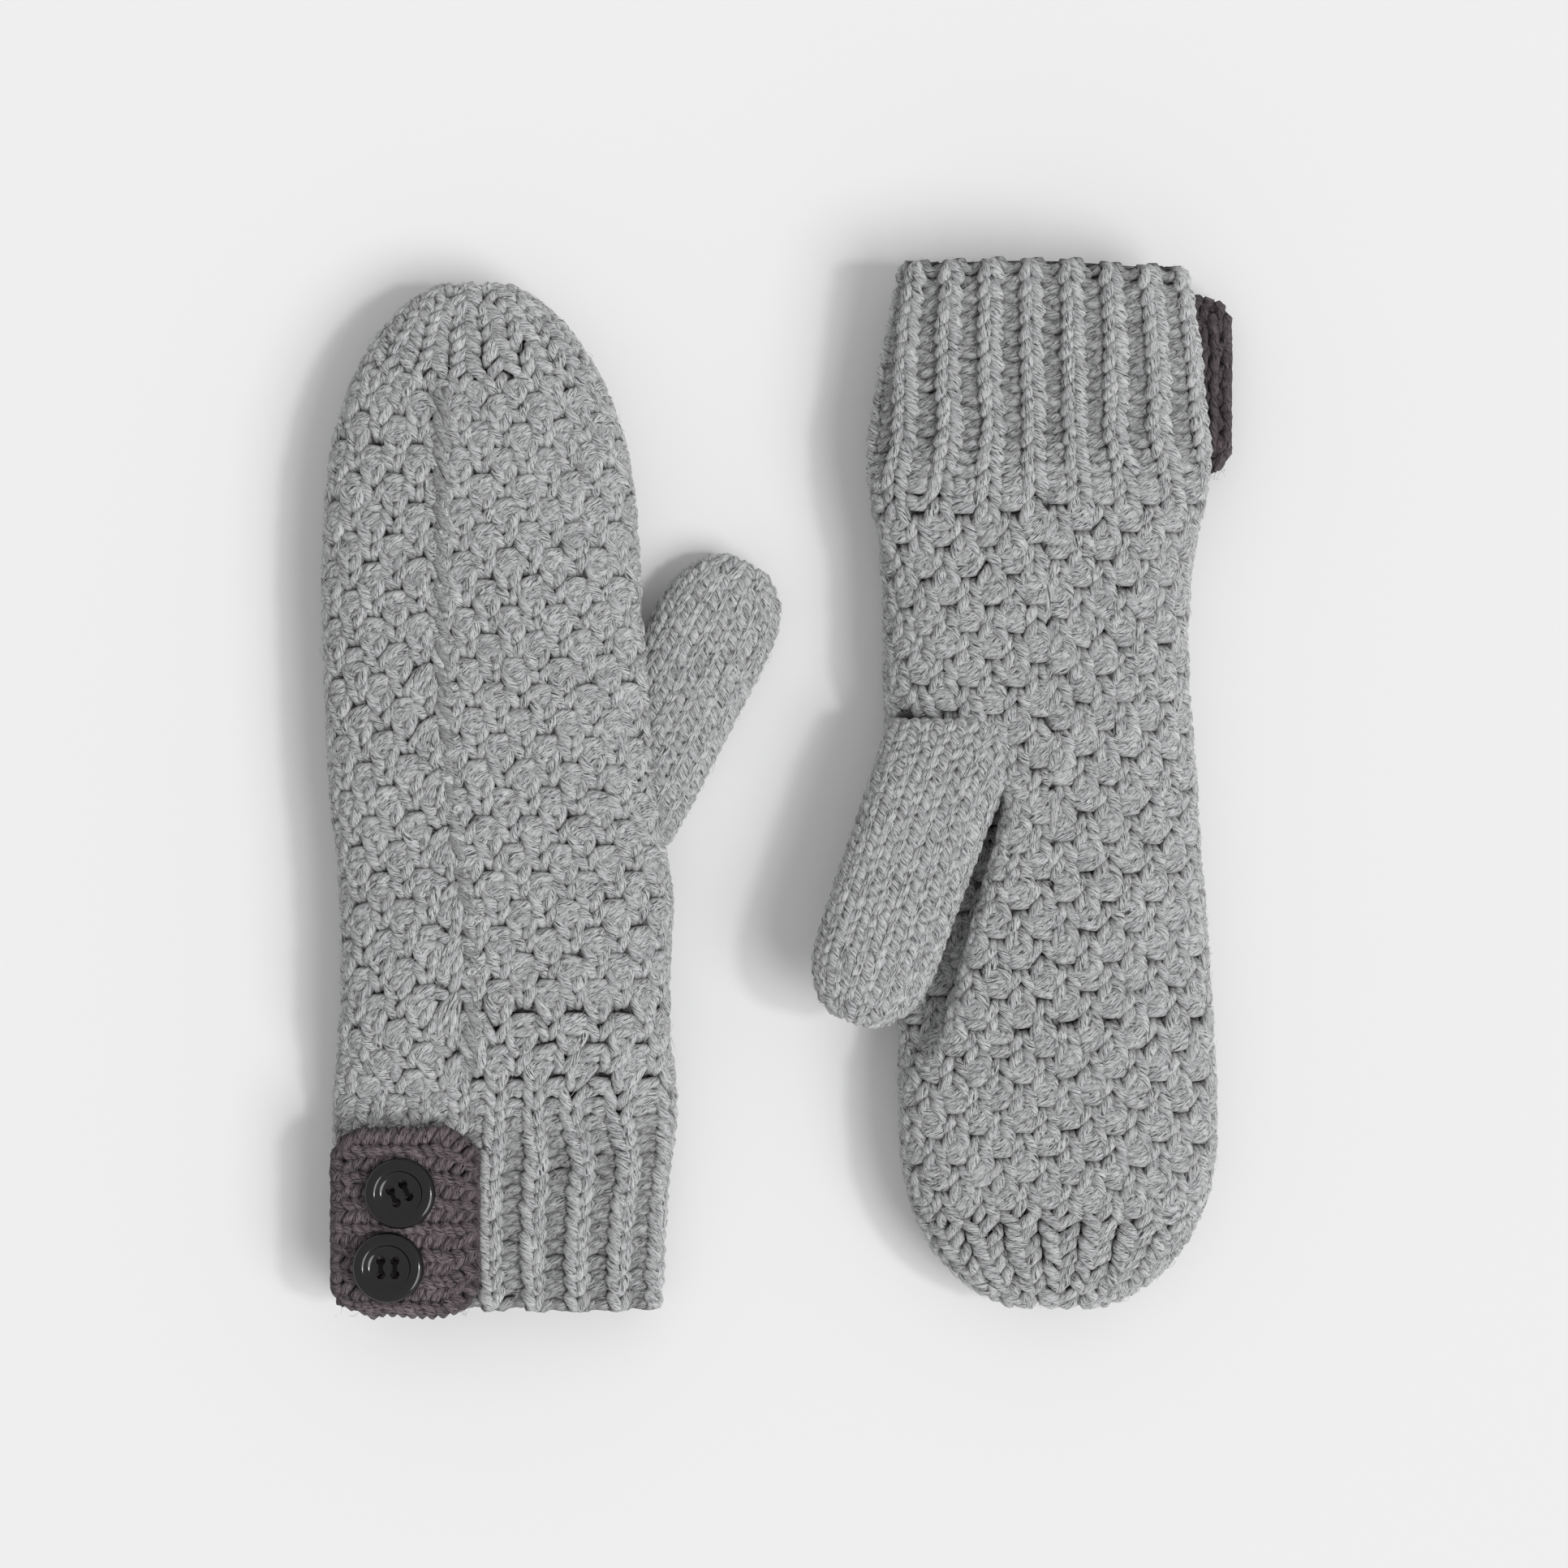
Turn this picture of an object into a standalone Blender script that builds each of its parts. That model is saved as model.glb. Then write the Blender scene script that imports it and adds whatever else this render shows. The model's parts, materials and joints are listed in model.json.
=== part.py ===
"""A pair of knitted mittens, laid flat side by side. Sizes are in metres.

The left mitten lies on its palm with its fingers towards +Y. The right one is its mirror image: it lies on its back
with its palm up and its fingers towards -Y. Inside a mitten u runs across from the little finger to the thumb,
v runs along from the open end of the cuff to the finger tip, and w points out of the back of the hand.
"""

import math
from dataclasses import dataclass

import bmesh
import bpy
from mathutils import Matrix, Vector

# Fabric and clearances, shared by both mittens
CLEARANCE = 0.0003
FABRIC = 0.0036
HOLLOW_OVERRUN = 0.004
FAR_BELOW = -0.05
PALM_LEVEL = -0.013
BACK_LEVEL = 0.014
CUFF_BACK_LEVEL = 0.0045
WRIST_SWELL = 0.024
SECTION_SQUARENESS = 2.6
RING_POINTS = 20

# Thumb: a tube that turns about an upright axis in its root, in a bay of the hand
THUMB_HALF_WIDTH = 0.0160
THUMB_TIP_HALF_WIDTH = 0.0152
THUMB_REACH = 0.0645
THUMB_THICKNESS = 0.0135
THUMB_TIP_LENGTH = THUMB_TIP_HALF_WIDTH * 1.15
THUMB_SWING_IN = 4.0
THUMB_SWING_OUT = 22.0
THUMB_MOUTH_EDGE = 0.0055
THUMB_MOUTH_WALL = 0.0024
JOIN_THICKNESS = 0.0020
JOIN_SPREAD = 62.0
GATHER_THICKNESS = 0.0016
GATHER_HALF_WIDTH = 0.0042
POCKET_HOLLOW_SHARE = 0.86

# Side seam along the back of the hand
SEAM_RADIUS = 0.0013
SEAM_SINK = 0.0011
SEAM_START = 0.009

# Strap tab and its buttons
TAB_WIDTH = 0.0370
TAB_THICKNESS = 0.0036
TAB_CORNER = 0.0075
TAB_DROOP = 0.0022
BUTTON_DIAMETER = 0.0180
BUTTON_GAP = 0.0009
BUTTON_LEAN = 9.0
BUTTON_DROP = 0.0021
TAB_HEIGHT = 2 * BUTTON_DIAMETER + 0.0130
BUTTON_THICKNESS = 0.0044
BUTTON_RIM = 0.0031
BUTTON_WELL_DEPTH = 0.0011
BUTTON_WELL_RADIUS = 0.0043
BUTTON_HOLE_RADIUS = 0.0011
BUTTON_HOLE_PITCH = 0.0035
BUTTON_SEGMENTS = 20
UPPER_BUTTON_TURN = 27.0
THREAD_RADIUS = 0.00055
SHANK_RADIUS = 0.0013
WRAP_RADIUS = 0.0036
KNOT_RADIUS = 0.0021
KNOT_DROP = 0.0024
TUBE_RESOLUTION = 2


@dataclass
class Lay:
    """How one mitten lies: its outline, its thumb and where it is put down."""

    name: str
    side: int
    palm_up: bool
    place: tuple
    length: float
    width: float
    cuff_length: float
    tip_length: float
    tip_squareness: float
    outline: list
    thumb_root: tuple
    thumb_angle: float
    thumb_palm: float
    seam: list
    tab_edge: float
    tab_start: float
    buttons: float


# An outline gives, at shares of the length, how far the little finger's edge and the thumb's edge lie from v's axis,
# in shares of half the width. A seam gives how far across it lies, in metres, at shares of the length. The tab's
# edge and the middle of its two buttons are in shares of half the width too, and the tab's start is in metres.
LEFT = Lay(
    name="left",
    side=1,
    palm_up=False,
    place=(-0.0685, -0.1346),
    length=0.2635,
    width=0.0885,
    cuff_length=TAB_HEIGHT + 0.002,
    tip_length=0.0585,
    tip_squareness=2.0,
    outline=[
        (0.00, 0.88, 0.88),
        (0.05, 0.95, 0.90),
        (0.14, 0.97, 0.92),
        (0.20, 1.00, 0.99),
        (0.29, 0.94, 0.93),
        (0.41, 0.95, 0.96),
        (0.49, 1.00, 0.88),
        (0.60, 1.03, 0.84),
        (0.70, 1.05, 0.78),
        (0.80, 1.03, 0.74),
        (1.00, 1.02, 0.66),
    ],
    thumb_root=(0.0327, 0.1366),
    thumb_angle=28.0,
    thumb_palm=PALM_LEVEL,
    seam=[(0.20, -0.0080), (0.36, -0.0075), (0.46, -0.0115), (0.66, -0.0150), (0.92, -0.0150)],
    tab_edge=-0.983,
    tab_start=0.0,
    buttons=-0.620,
)
RIGHT = Lay(
    name="right",
    side=-1,
    palm_up=True,
    place=(0.0677, 0.1346),
    length=0.2690,
    width=0.0840,
    cuff_length=TAB_HEIGHT + 0.009,
    tip_length=0.0470,
    tip_squareness=2.4,
    outline=[
        (0.00, 0.84, 0.84),
        (0.06, 0.92, 0.91),
        (0.14, 0.97, 1.00),
        (0.21, 1.01, 1.05),
        (0.28, 0.92, 0.97),
        (0.35, 0.88, 0.95),
        (0.45, 0.91, 0.95),
        (0.60, 0.98, 0.90),
        (0.74, 1.04, 0.86),
        (0.83, 1.06, 0.85),
        (1.00, 1.02, 0.84),
    ],
    thumb_root=(0.0277, 0.1361),
    thumb_angle=19.4,
    thumb_palm=-0.0150,
    seam=[(0.22, -0.0080), (0.36, -0.0075), (0.46, -0.0115), (0.66, -0.0150), (0.92, -0.0150)],
    tab_edge=-1.155,
    tab_start=0.0085,
    buttons=-0.625,
)

YARN = ("heather_yarn", (0.42, 0.42, 0.43), 0.95)
SEAM_YARN = ("seam_yarn", (0.38, 0.38, 0.39), 0.95)
STRAP_YARN = ("charcoal_yarn", (0.075, 0.062, 0.067), 0.95)
BUTTON_PLASTIC = ("black_gloss_plastic", (0.012, 0.011, 0.012), 0.12)
SEWING_THREAD = ("black_thread", (0.018, 0.017, 0.018), 0.7)


# Empty the scene and set up the two collections

for old in list(bpy.data.objects):
    bpy.data.objects.remove(old, do_unlink=True)

parts = bpy.data.collections.new("knitted_mittens")
cutters = bpy.data.collections.new("cutters")
for group in (parts, cutters):
    bpy.context.scene.collection.children.link(group)


def material(recipe):
    """The Principled material of a recipe: its name, colour and roughness."""
    name, colour, roughness = recipe
    found = bpy.data.materials.get(name)
    if found:
        return found
    made = bpy.data.materials.new(name)
    made.use_nodes = True
    shader = made.node_tree.nodes["Principled BSDF"]
    shader.inputs["Base Color"].default_value = (*colour, 1.0)
    shader.inputs["Roughness"].default_value = roughness
    shader.inputs["Metallic"].default_value = 0.0
    return made


def place(name, mesh, parent, recipe=None, pivot=(0, 0, 0)):
    """Put a mesh into the model as a part, or as a cutter when it has no material, with its origin on its pivot."""
    body = bpy.data.objects.new(name, mesh)
    (parts if recipe else cutters).objects.link(body)
    if recipe:
        mesh.materials.clear()
        mesh.materials.append(material(recipe))
    else:
        body.hide_render = True
        body.display_type = "WIRE"
    if Vector(pivot).length > 0:
        mesh.transform(Matrix.Translation(-Vector(pivot)))
    body.parent = parent
    body.location = pivot
    return body


def cut(body, cutter, operation="DIFFERENCE"):
    step = body.modifiers.new(f"{operation.lower()}_{cutter.name}", "BOOLEAN")
    step.operation = operation
    step.object = cutter
    step.solver = "EXACT"


def mesh_of(bm, name):
    bmesh.ops.recalc_face_normals(bm, faces=bm.faces)
    mesh = bpy.data.meshes.new(name)
    bm.to_mesh(mesh)
    bm.free()
    mesh.shade_smooth()
    mesh.set_sharp_from_angle(angle=math.radians(40))
    return mesh


def loft(name, rings):
    """A closed skin through rings of equally many points, with a flat end at each side."""
    bm = bmesh.new()
    rows = [[bm.verts.new(point) for point in ring] for ring in rings]
    count = len(rows[0])
    for first, second in zip(rows, rows[1:]):
        for k in range(count):
            after = (k + 1) % count
            bm.faces.new((first[k], first[after], second[after], second[k]))
    bm.faces.new(rows[0])
    bm.faces.new(reversed(rows[-1]))
    return mesh_of(bm, name)


def curve_mesh(curve):
    """The mesh of a curve, with its caps welded on."""
    holder = bpy.data.objects.new(curve.name, curve)
    cutters.objects.link(holder)
    graph = bpy.context.evaluated_depsgraph_get()
    mesh = bpy.data.meshes.new_from_object(holder.evaluated_get(graph))
    bpy.data.objects.remove(holder, do_unlink=True)
    bm = bmesh.new()
    bm.from_mesh(mesh)
    bmesh.ops.remove_doubles(bm, verts=bm.verts, dist=1e-6)
    bpy.data.meshes.remove(mesh)
    return mesh_of(bm, curve.name)


def prism(name, outline, low, high):
    """A flat outline of (u, v) points given a thickness from low to high."""
    curve = bpy.data.curves.new(name, "CURVE")
    curve.dimensions = "2D"
    curve.fill_mode = "BOTH"
    curve.extrude = (high - low) / 2
    spline = curve.splines.new("POLY")
    spline.points.add(len(outline) - 1)
    for point, (u, v) in zip(spline.points, outline):
        point.co = (u, v, 0, 1)
    spline.use_cyclic_u = True
    mesh = curve_mesh(curve)
    mesh.transform(Matrix.Translation((0, 0, (high + low) / 2)))
    return mesh


def tube(name, points, radius):
    """A round cord along the points."""
    curve = bpy.data.curves.new(name, "CURVE")
    curve.dimensions = "3D"
    curve.bevel_depth = radius
    curve.bevel_resolution = TUBE_RESOLUTION
    curve.use_fill_caps = True
    spline = curve.splines.new("POLY")
    spline.points.add(len(points) - 1)
    for point, spot in zip(spline.points, points):
        point.co = (*spot, 1)
    return curve_mesh(curve)


def cylinder(name, radius, low, high, segments=16):
    bm = bmesh.new()
    bmesh.ops.create_cone(
        bm,
        cap_ends=True,
        segments=segments,
        radius1=radius,
        radius2=radius,
        depth=high - low,
        matrix=Matrix.Translation((0, 0, (high + low) / 2)),
    )
    return mesh_of(bm, name)


def ball(name, radii, centre, turn=0.0):
    """An ellipsoid with its poles on v, turned about w."""
    bm = bmesh.new()
    bmesh.ops.create_uvsphere(bm, u_segments=10, v_segments=6, radius=1.0)
    poles_on_v = Matrix.Rotation(math.pi / 2, 4, "X")
    shape = Matrix.Translation(centre) @ Matrix.Rotation(turn, 4, "Z") @ Matrix.Diagonal((*radii, 1)) @ poles_on_v
    bmesh.ops.transform(bm, matrix=shape, verts=bm.verts)
    return mesh_of(bm, name)


def between(table, x):
    """A smooth curve through rows of (x, value, ...), read at x: one value for each column after the first."""
    last = len(table) - 1
    i = max(0, min(last - 1, sum(row[0] <= x for row in table) - 1))
    x0, x1 = table[i][0], table[i + 1][0]
    t = min(1.0, max(0.0, (x - x0) / (x1 - x0)))
    values = []
    for column in range(1, len(table[0])):
        y0, y1 = table[i][column], table[i + 1][column]
        before, after = table[max(i - 1, 0)], table[min(i + 2, last)]
        slope0 = (y1 - before[column]) / (x1 - before[0]) * (x1 - x0)
        slope1 = (after[column] - y0) / (after[0] - x0) * (x1 - x0)
        hermite = (
            (2 * t**3 - 3 * t**2 + 1) * y0
            + (t**3 - 2 * t**2 + t) * slope0
            + (3 * t**2 - 2 * t**3) * y1
            + (t**3 - t**2) * slope1
        )
        values.append(hermite)
    return values


def smooth_step(t):
    t = min(1.0, max(0.0, t))
    return t * t * (3 - 2 * t)


def tip_start(lay):
    return lay.length - lay.tip_length


def section(lay, v):
    """Centre across, centre height, half width and half height of the outside of a mitten at v."""
    little, thumb = between(lay.outline, v / lay.length)
    half = lay.width / 2
    across = (thumb - little) * half / 2
    half_width = (thumb + little) * half / 2
    swell = smooth_step((v - lay.cuff_length) / WRIST_SWELL)
    back = CUFF_BACK_LEVEL + (BACK_LEVEL - CUFF_BACK_LEVEL) * swell
    height = (back + PALM_LEVEL) / 2
    half_height = (back - PALM_LEVEL) / 2
    reach = min(1.0, max(0.0, (v - tip_start(lay)) / lay.tip_length))
    narrowing = math.sqrt(max(0.0, 1 - reach**lay.tip_squareness))
    return across, height, half_width * narrowing, half_height * narrowing


def ring(centre_u, centre_w, half_u, half_w):
    """Points of a rounded, flattened section, with a flat facet on its top, its bottom and each edge."""
    power = 2 / SECTION_SQUARENESS
    facet = math.cos(math.pi / RING_POINTS) ** power
    points = []
    for k in range(RING_POINTS):
        angle = (k + 0.5) * math.tau / RING_POINTS
        x, y = math.cos(angle), math.sin(angle)
        u = centre_u + half_u * math.copysign(abs(x) ** power / facet, x)
        w = centre_w + half_w * math.copysign(abs(y) ** power / facet, y)
        points.append((u, w))
    return points


def tube_rings(lay, stations, inset=0.0):
    """Rings of a mitten's own section at each v, on its outside or a wall's thickness inside it."""
    rings = []
    for v in stations:
        across, height, half_width, half_height = section(lay, v)
        points = ring(across, height, half_width - inset, half_height - inset)
        rings.append([(lay.side * u, v, w) for u, w in points])
    return rings


def spread(low, high, count):
    return [low + (high - low) * k / (count - 1) for k in range(count)]


def tip_stations(lay, low, deepest):
    """Stations from low to the finger tip, closer together as it rounds off, ending at a share of its reach."""
    start = max(low, tip_start(lay))
    turns = spread(math.asin((start - tip_start(lay)) / lay.tip_length), math.asin(deepest), 8)
    rounding = [tip_start(lay) + lay.tip_length * math.sin(turn) for turn in turns]
    return [low] + (rounding if low < start - 0.002 else rounding[1:])


# The thumb's own directions and its bay

def bay_radius():
    return THUMB_HALF_WIDTH + CLEARANCE + JOIN_THICKNESS + CLEARANCE


def thumb_point(lay, along, across, turn=0.0):
    """(u, v) of a point along the thumb from its root and across it towards the outside of the hand."""
    angle = math.radians(lay.thumb_angle + turn)
    u = lay.thumb_root[0] + along * math.sin(angle) + across * math.cos(angle)
    v = lay.thumb_root[1] + along * math.cos(angle) - across * math.sin(angle)
    return u, v


def knuckle(lay):
    """Where the hand ends and the finger pocket starts, just past the end of the thumb's bay."""
    reach = THUMB_REACH + JOIN_THICKNESS + FABRIC + 2 * CLEARANCE
    return lay.thumb_root[1] + reach * math.cos(math.radians(lay.thumb_angle - THUMB_SWING_IN)) + 0.001


def bay_outline(lay, wall):
    """The floor plan of the bay that the thumb swings in, grown by a wall."""
    radius = bay_radius() + wall
    far = THUMB_REACH + JOIN_THICKNESS + 2 * CLEARANCE + wall
    along = math.sqrt(far**2 - radius**2)
    outline = []
    for step in range(7):
        turn = -THUMB_SWING_IN + (THUMB_SWING_IN + THUMB_SWING_OUT) * step / 6
        if step in (0, 6):
            outline.append(thumb_point(lay, along, -radius if step == 0 else radius, turn))
        else:
            outline.append(thumb_point(lay, far, 0, turn))
    first = math.radians(90 + THUMB_SWING_OUT)
    last = math.radians(270 - THUMB_SWING_IN)
    for angle in spread(first, last, 13):
        outline.append(thumb_point(lay, radius * math.cos(angle), radius * math.sin(angle)))
    return [(lay.side * u, v) for u, v in outline]


def thumb_back(lay):
    return lay.thumb_palm + THUMB_THICKNESS


def thumb_rings(lay, stations, inset=0.0):
    """Rings square to the thumb at distances from its root, with a round root and a round tip."""
    height = (lay.thumb_palm + thumb_back(lay)) / 2
    body = THUMB_REACH - GATHER_THICKNESS - CLEARANCE
    rings = []
    for along in stations:
        share = min(1.0, max(0.0, along / body))
        half_width = THUMB_HALF_WIDTH + (THUMB_TIP_HALF_WIDTH - THUMB_HALF_WIDTH) * share
        half_height = THUMB_THICKNESS / 2
        if along < 0:
            half_width = math.sqrt(THUMB_HALF_WIDTH**2 - along**2)
        if along > body - THUMB_TIP_LENGTH:
            narrowing = math.sqrt(1 - ((along - body + THUMB_TIP_LENGTH) / THUMB_TIP_LENGTH) ** 2 * 0.985)
            half_width *= narrowing
            half_height *= 0.35 + 0.65 * narrowing
        points = ring(0, height, half_width - inset, half_height - inset)
        row = []
        for across, w in points:
            u, v = thumb_point(lay, along, across)
            row.append((lay.side * u, v, w))
        rings.append(row)
    return rings


def thumb_box(lay, name, low, high, half_width):
    """A block through the mouth of the thumb, from low to high along it."""
    corners = [(low, -half_width), (high, -half_width), (high, half_width), (low, half_width)]
    outline = []
    for along, across in corners:
        u, v = thumb_point(lay, along, across)
        outline.append((lay.side * u, v))
    lowest = max(lay.thumb_palm, PALM_LEVEL) + THUMB_MOUTH_WALL
    return prism(name, outline, lowest, thumb_back(lay) - THUMB_MOUTH_WALL)


# Finger tube: the hand and the finger pocket, with the seam that closes them

def make_hand(lay, mitten):
    low = lay.cuff_length + CLEARANCE
    high = knuckle(lay) - CLEARANCE
    swelling = spread(low, lay.cuff_length + WRIST_SWELL, 4)
    stations = swelling + spread(lay.cuff_length + WRIST_SWELL, high, 9)[1:]
    hand = place(f"{lay.name}_hand", loft("hand", tube_rings(lay, stations)), mitten, YARN)

    past_both_ends = [low - HOLLOW_OVERRUN] + stations + [high + HOLLOW_OVERRUN]
    cavity_mesh = loft("hand_hollow", tube_rings(lay, past_both_ends, FABRIC))
    cavity = place(f"{lay.name}_hand_hollow", cavity_mesh, mitten)
    bay_roof = thumb_back(lay) + CLEARANCE
    bay_wall_mesh = prism("bay_wall", bay_outline(lay, FABRIC), FAR_BELOW, bay_roof + FABRIC)
    cut(cavity, place(f"{lay.name}_bay_wall", bay_wall_mesh, mitten))

    bay_mesh = prism("bay", bay_outline(lay, 0.0), FAR_BELOW, bay_roof)
    cut(hand, place(f"{lay.name}_thumb_bay", bay_mesh, mitten))
    cut(hand, cavity)
    slit_depth = bay_radius() + FABRIC + 0.006
    slit_mesh = thumb_box(lay, "slit", -slit_depth, 0.0, THUMB_HALF_WIDTH - THUMB_MOUTH_EDGE)
    cut(hand, place(f"{lay.name}_thumb_slit", slit_mesh, mitten))
    return hand


def make_finger_pocket(lay, mitten):
    low = knuckle(lay) + CLEARANCE
    end = 1 - (GATHER_THICKNESS + CLEARANCE) / lay.tip_length
    stations = tip_stations(lay, low, end)
    pivot = (0, knuckle(lay), finger_fold_level(lay))
    pocket = place(f"{lay.name}_finger_pocket", loft("pocket", tube_rings(lay, stations)), mitten, YARN, pivot)
    hollow = [low - HOLLOW_OVERRUN] + tip_stations(lay, low, POCKET_HOLLOW_SHARE)
    cavity_mesh = loft("pocket_hollow", tube_rings(lay, hollow, FABRIC))
    cut(pocket, place(f"{lay.name}_pocket_hollow", cavity_mesh, mitten))

    across = section(lay, tip_start(lay))[0]
    centre = (lay.side * across, lay.length - GATHER_THICKNESS / 2, (PALM_LEVEL + BACK_LEVEL) / 2)
    radii = (GATHER_HALF_WIDTH, GATHER_THICKNESS / 2, GATHER_THICKNESS)
    place(f"{lay.name}_tip_gather", ball("tip_gather", radii, centre), mitten, YARN, pivot)
    return pocket


def finger_fold_level(lay):
    """Height of the finger fold's axis: in the face that is uppermost, so that the fingers fold up and over."""
    return PALM_LEVEL if lay.palm_up else BACK_LEVEL


def seam_points(lay, low, high, count):
    """The seam's line along the back, sunk so that it stands only a little proud."""
    points = []
    for v in spread(low, high, count):
        u = between(lay.seam, v / lay.length)[0]
        across, height, half_width, half_height = section(lay, v)
        fall = (1 - (abs(u - across) / half_width) ** SECTION_SQUARENESS) ** (1 / SECTION_SQUARENESS)
        level = min(height + half_height * fall - SEAM_SINK, BACK_LEVEL - SEAM_RADIUS - CLEARANCE)
        points.append((lay.side * u, v, level))
    return points


def make_seam(lay, mitten, hand, pocket):
    knuckle_v = knuckle(lay)
    pivot = (0, knuckle_v, finger_fold_level(lay))
    runs = [
        ("side_seam", hand, lay.cuff_length + SEAM_START, knuckle_v - 2 * CLEARANCE, (0, 0, 0), 11),
        ("finger_seam", pocket, knuckle_v + 2 * CLEARANCE, lay.length - lay.tip_length * 0.45, pivot, 6),
    ]
    reach = 0.002
    for name, body, low, high, origin, count in runs:
        line = seam_points(lay, low, high, count)
        place(f"{lay.name}_{name}", tube(name, line, SEAM_RADIUS), mitten, SEAM_YARN, origin)
        before = Vector(line[0]) - (Vector(line[1]) - Vector(line[0])).normalized() * reach
        after = Vector(line[-1]) + (Vector(line[-1]) - Vector(line[-2])).normalized() * reach
        groove = [tuple(before), *line, tuple(after)]
        cut(body, place(f"{lay.name}_{name}_groove", tube("groove", groove, SEAM_RADIUS + 1.5 * CLEARANCE), mitten))


# Thumb

def make_thumb(lay, mitten):
    body = THUMB_REACH - GATHER_THICKNESS - CLEARANCE
    root = [-THUMB_HALF_WIDTH * math.sin(math.radians(turn)) for turn in (76, 60, 42, 22, 0)]
    shaft = spread(0, body - THUMB_TIP_LENGTH, 5)[1:]
    tip = [body - THUMB_TIP_LENGTH * (1 - math.sin(math.radians(turn))) for turn in (18, 36, 54, 70, 84)]
    stations = root + shaft + tip
    pivot = (lay.side * lay.thumb_root[0], lay.thumb_root[1], (lay.thumb_palm + thumb_back(lay)) / 2)
    thumb = place(f"{lay.name}_thumb", loft("thumb", thumb_rings(lay, stations)), mitten, YARN, pivot)
    hollow = [s for s in stations if -THUMB_HALF_WIDTH * 0.7 < s < body - FABRIC - THUMB_THICKNESS * 0.35]
    cut(thumb, place(f"{lay.name}_thumb_hollow", loft("thumb_hollow", thumb_rings(lay, hollow, FABRIC)), mitten))
    half_mouth = THUMB_HALF_WIDTH - THUMB_MOUTH_EDGE
    mouth_mesh = thumb_box(lay, "mouth", -THUMB_HALF_WIDTH - 0.002, 0.002, half_mouth)
    cut(thumb, place(f"{lay.name}_thumb_mouth", mouth_mesh, mitten))

    u, v = thumb_point(lay, THUMB_REACH - GATHER_THICKNESS / 2, 0)
    radii = (GATHER_HALF_WIDTH * 0.7, GATHER_THICKNESS / 2, GATHER_THICKNESS)
    turn = -lay.side * math.radians(lay.thumb_angle)
    gather = ball("thumb_gather", radii, (lay.side * u, v, pivot[2]), turn)
    place(f"{lay.name}_thumb_gather", gather, mitten, YARN, pivot)

    inner = THUMB_HALF_WIDTH + CLEARANCE
    band = []
    for radius, order in ((inner, 1), (inner + JOIN_THICKNESS, -1)):
        for angle in spread(180 - order * JOIN_SPREAD, 180 + order * JOIN_SPREAD, 13):
            turned = math.radians(angle)
            u, v = thumb_point(lay, radius * math.cos(turned), radius * math.sin(turned))
            band.append((lay.side * u, v))
    join = prism("thumb_join", band, lay.thumb_palm, thumb_back(lay))
    joined = place(f"{lay.name}_thumb_join", join, mitten, SEAM_YARN)
    window = thumb_box(lay, "window", -inner - JOIN_THICKNESS - 0.004, -inner * 0.4, half_mouth)
    cut(joined, place(f"{lay.name}_join_window", window, mitten))


# Cuff, strap tab, buttons and the thread that sews them on

def tab_level(lay, u):
    """Height of the tab's underside: flat on the back of the cuff, drooping towards the little finger's edge."""
    from_edge = u - lay.tab_edge * lay.width / 2
    droop = TAB_DROOP * max(0.0, 1 - from_edge / (TAB_WIDTH * 0.36)) ** 2
    return CUFF_BACK_LEVEL + CLEARANCE - droop


def wrist_pivot(lay):
    """The wrist folds in the face that is uppermost, so that the cuff lifts."""
    return (0, lay.cuff_length, PALM_LEVEL if lay.palm_up else CUFF_BACK_LEVEL)


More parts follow.
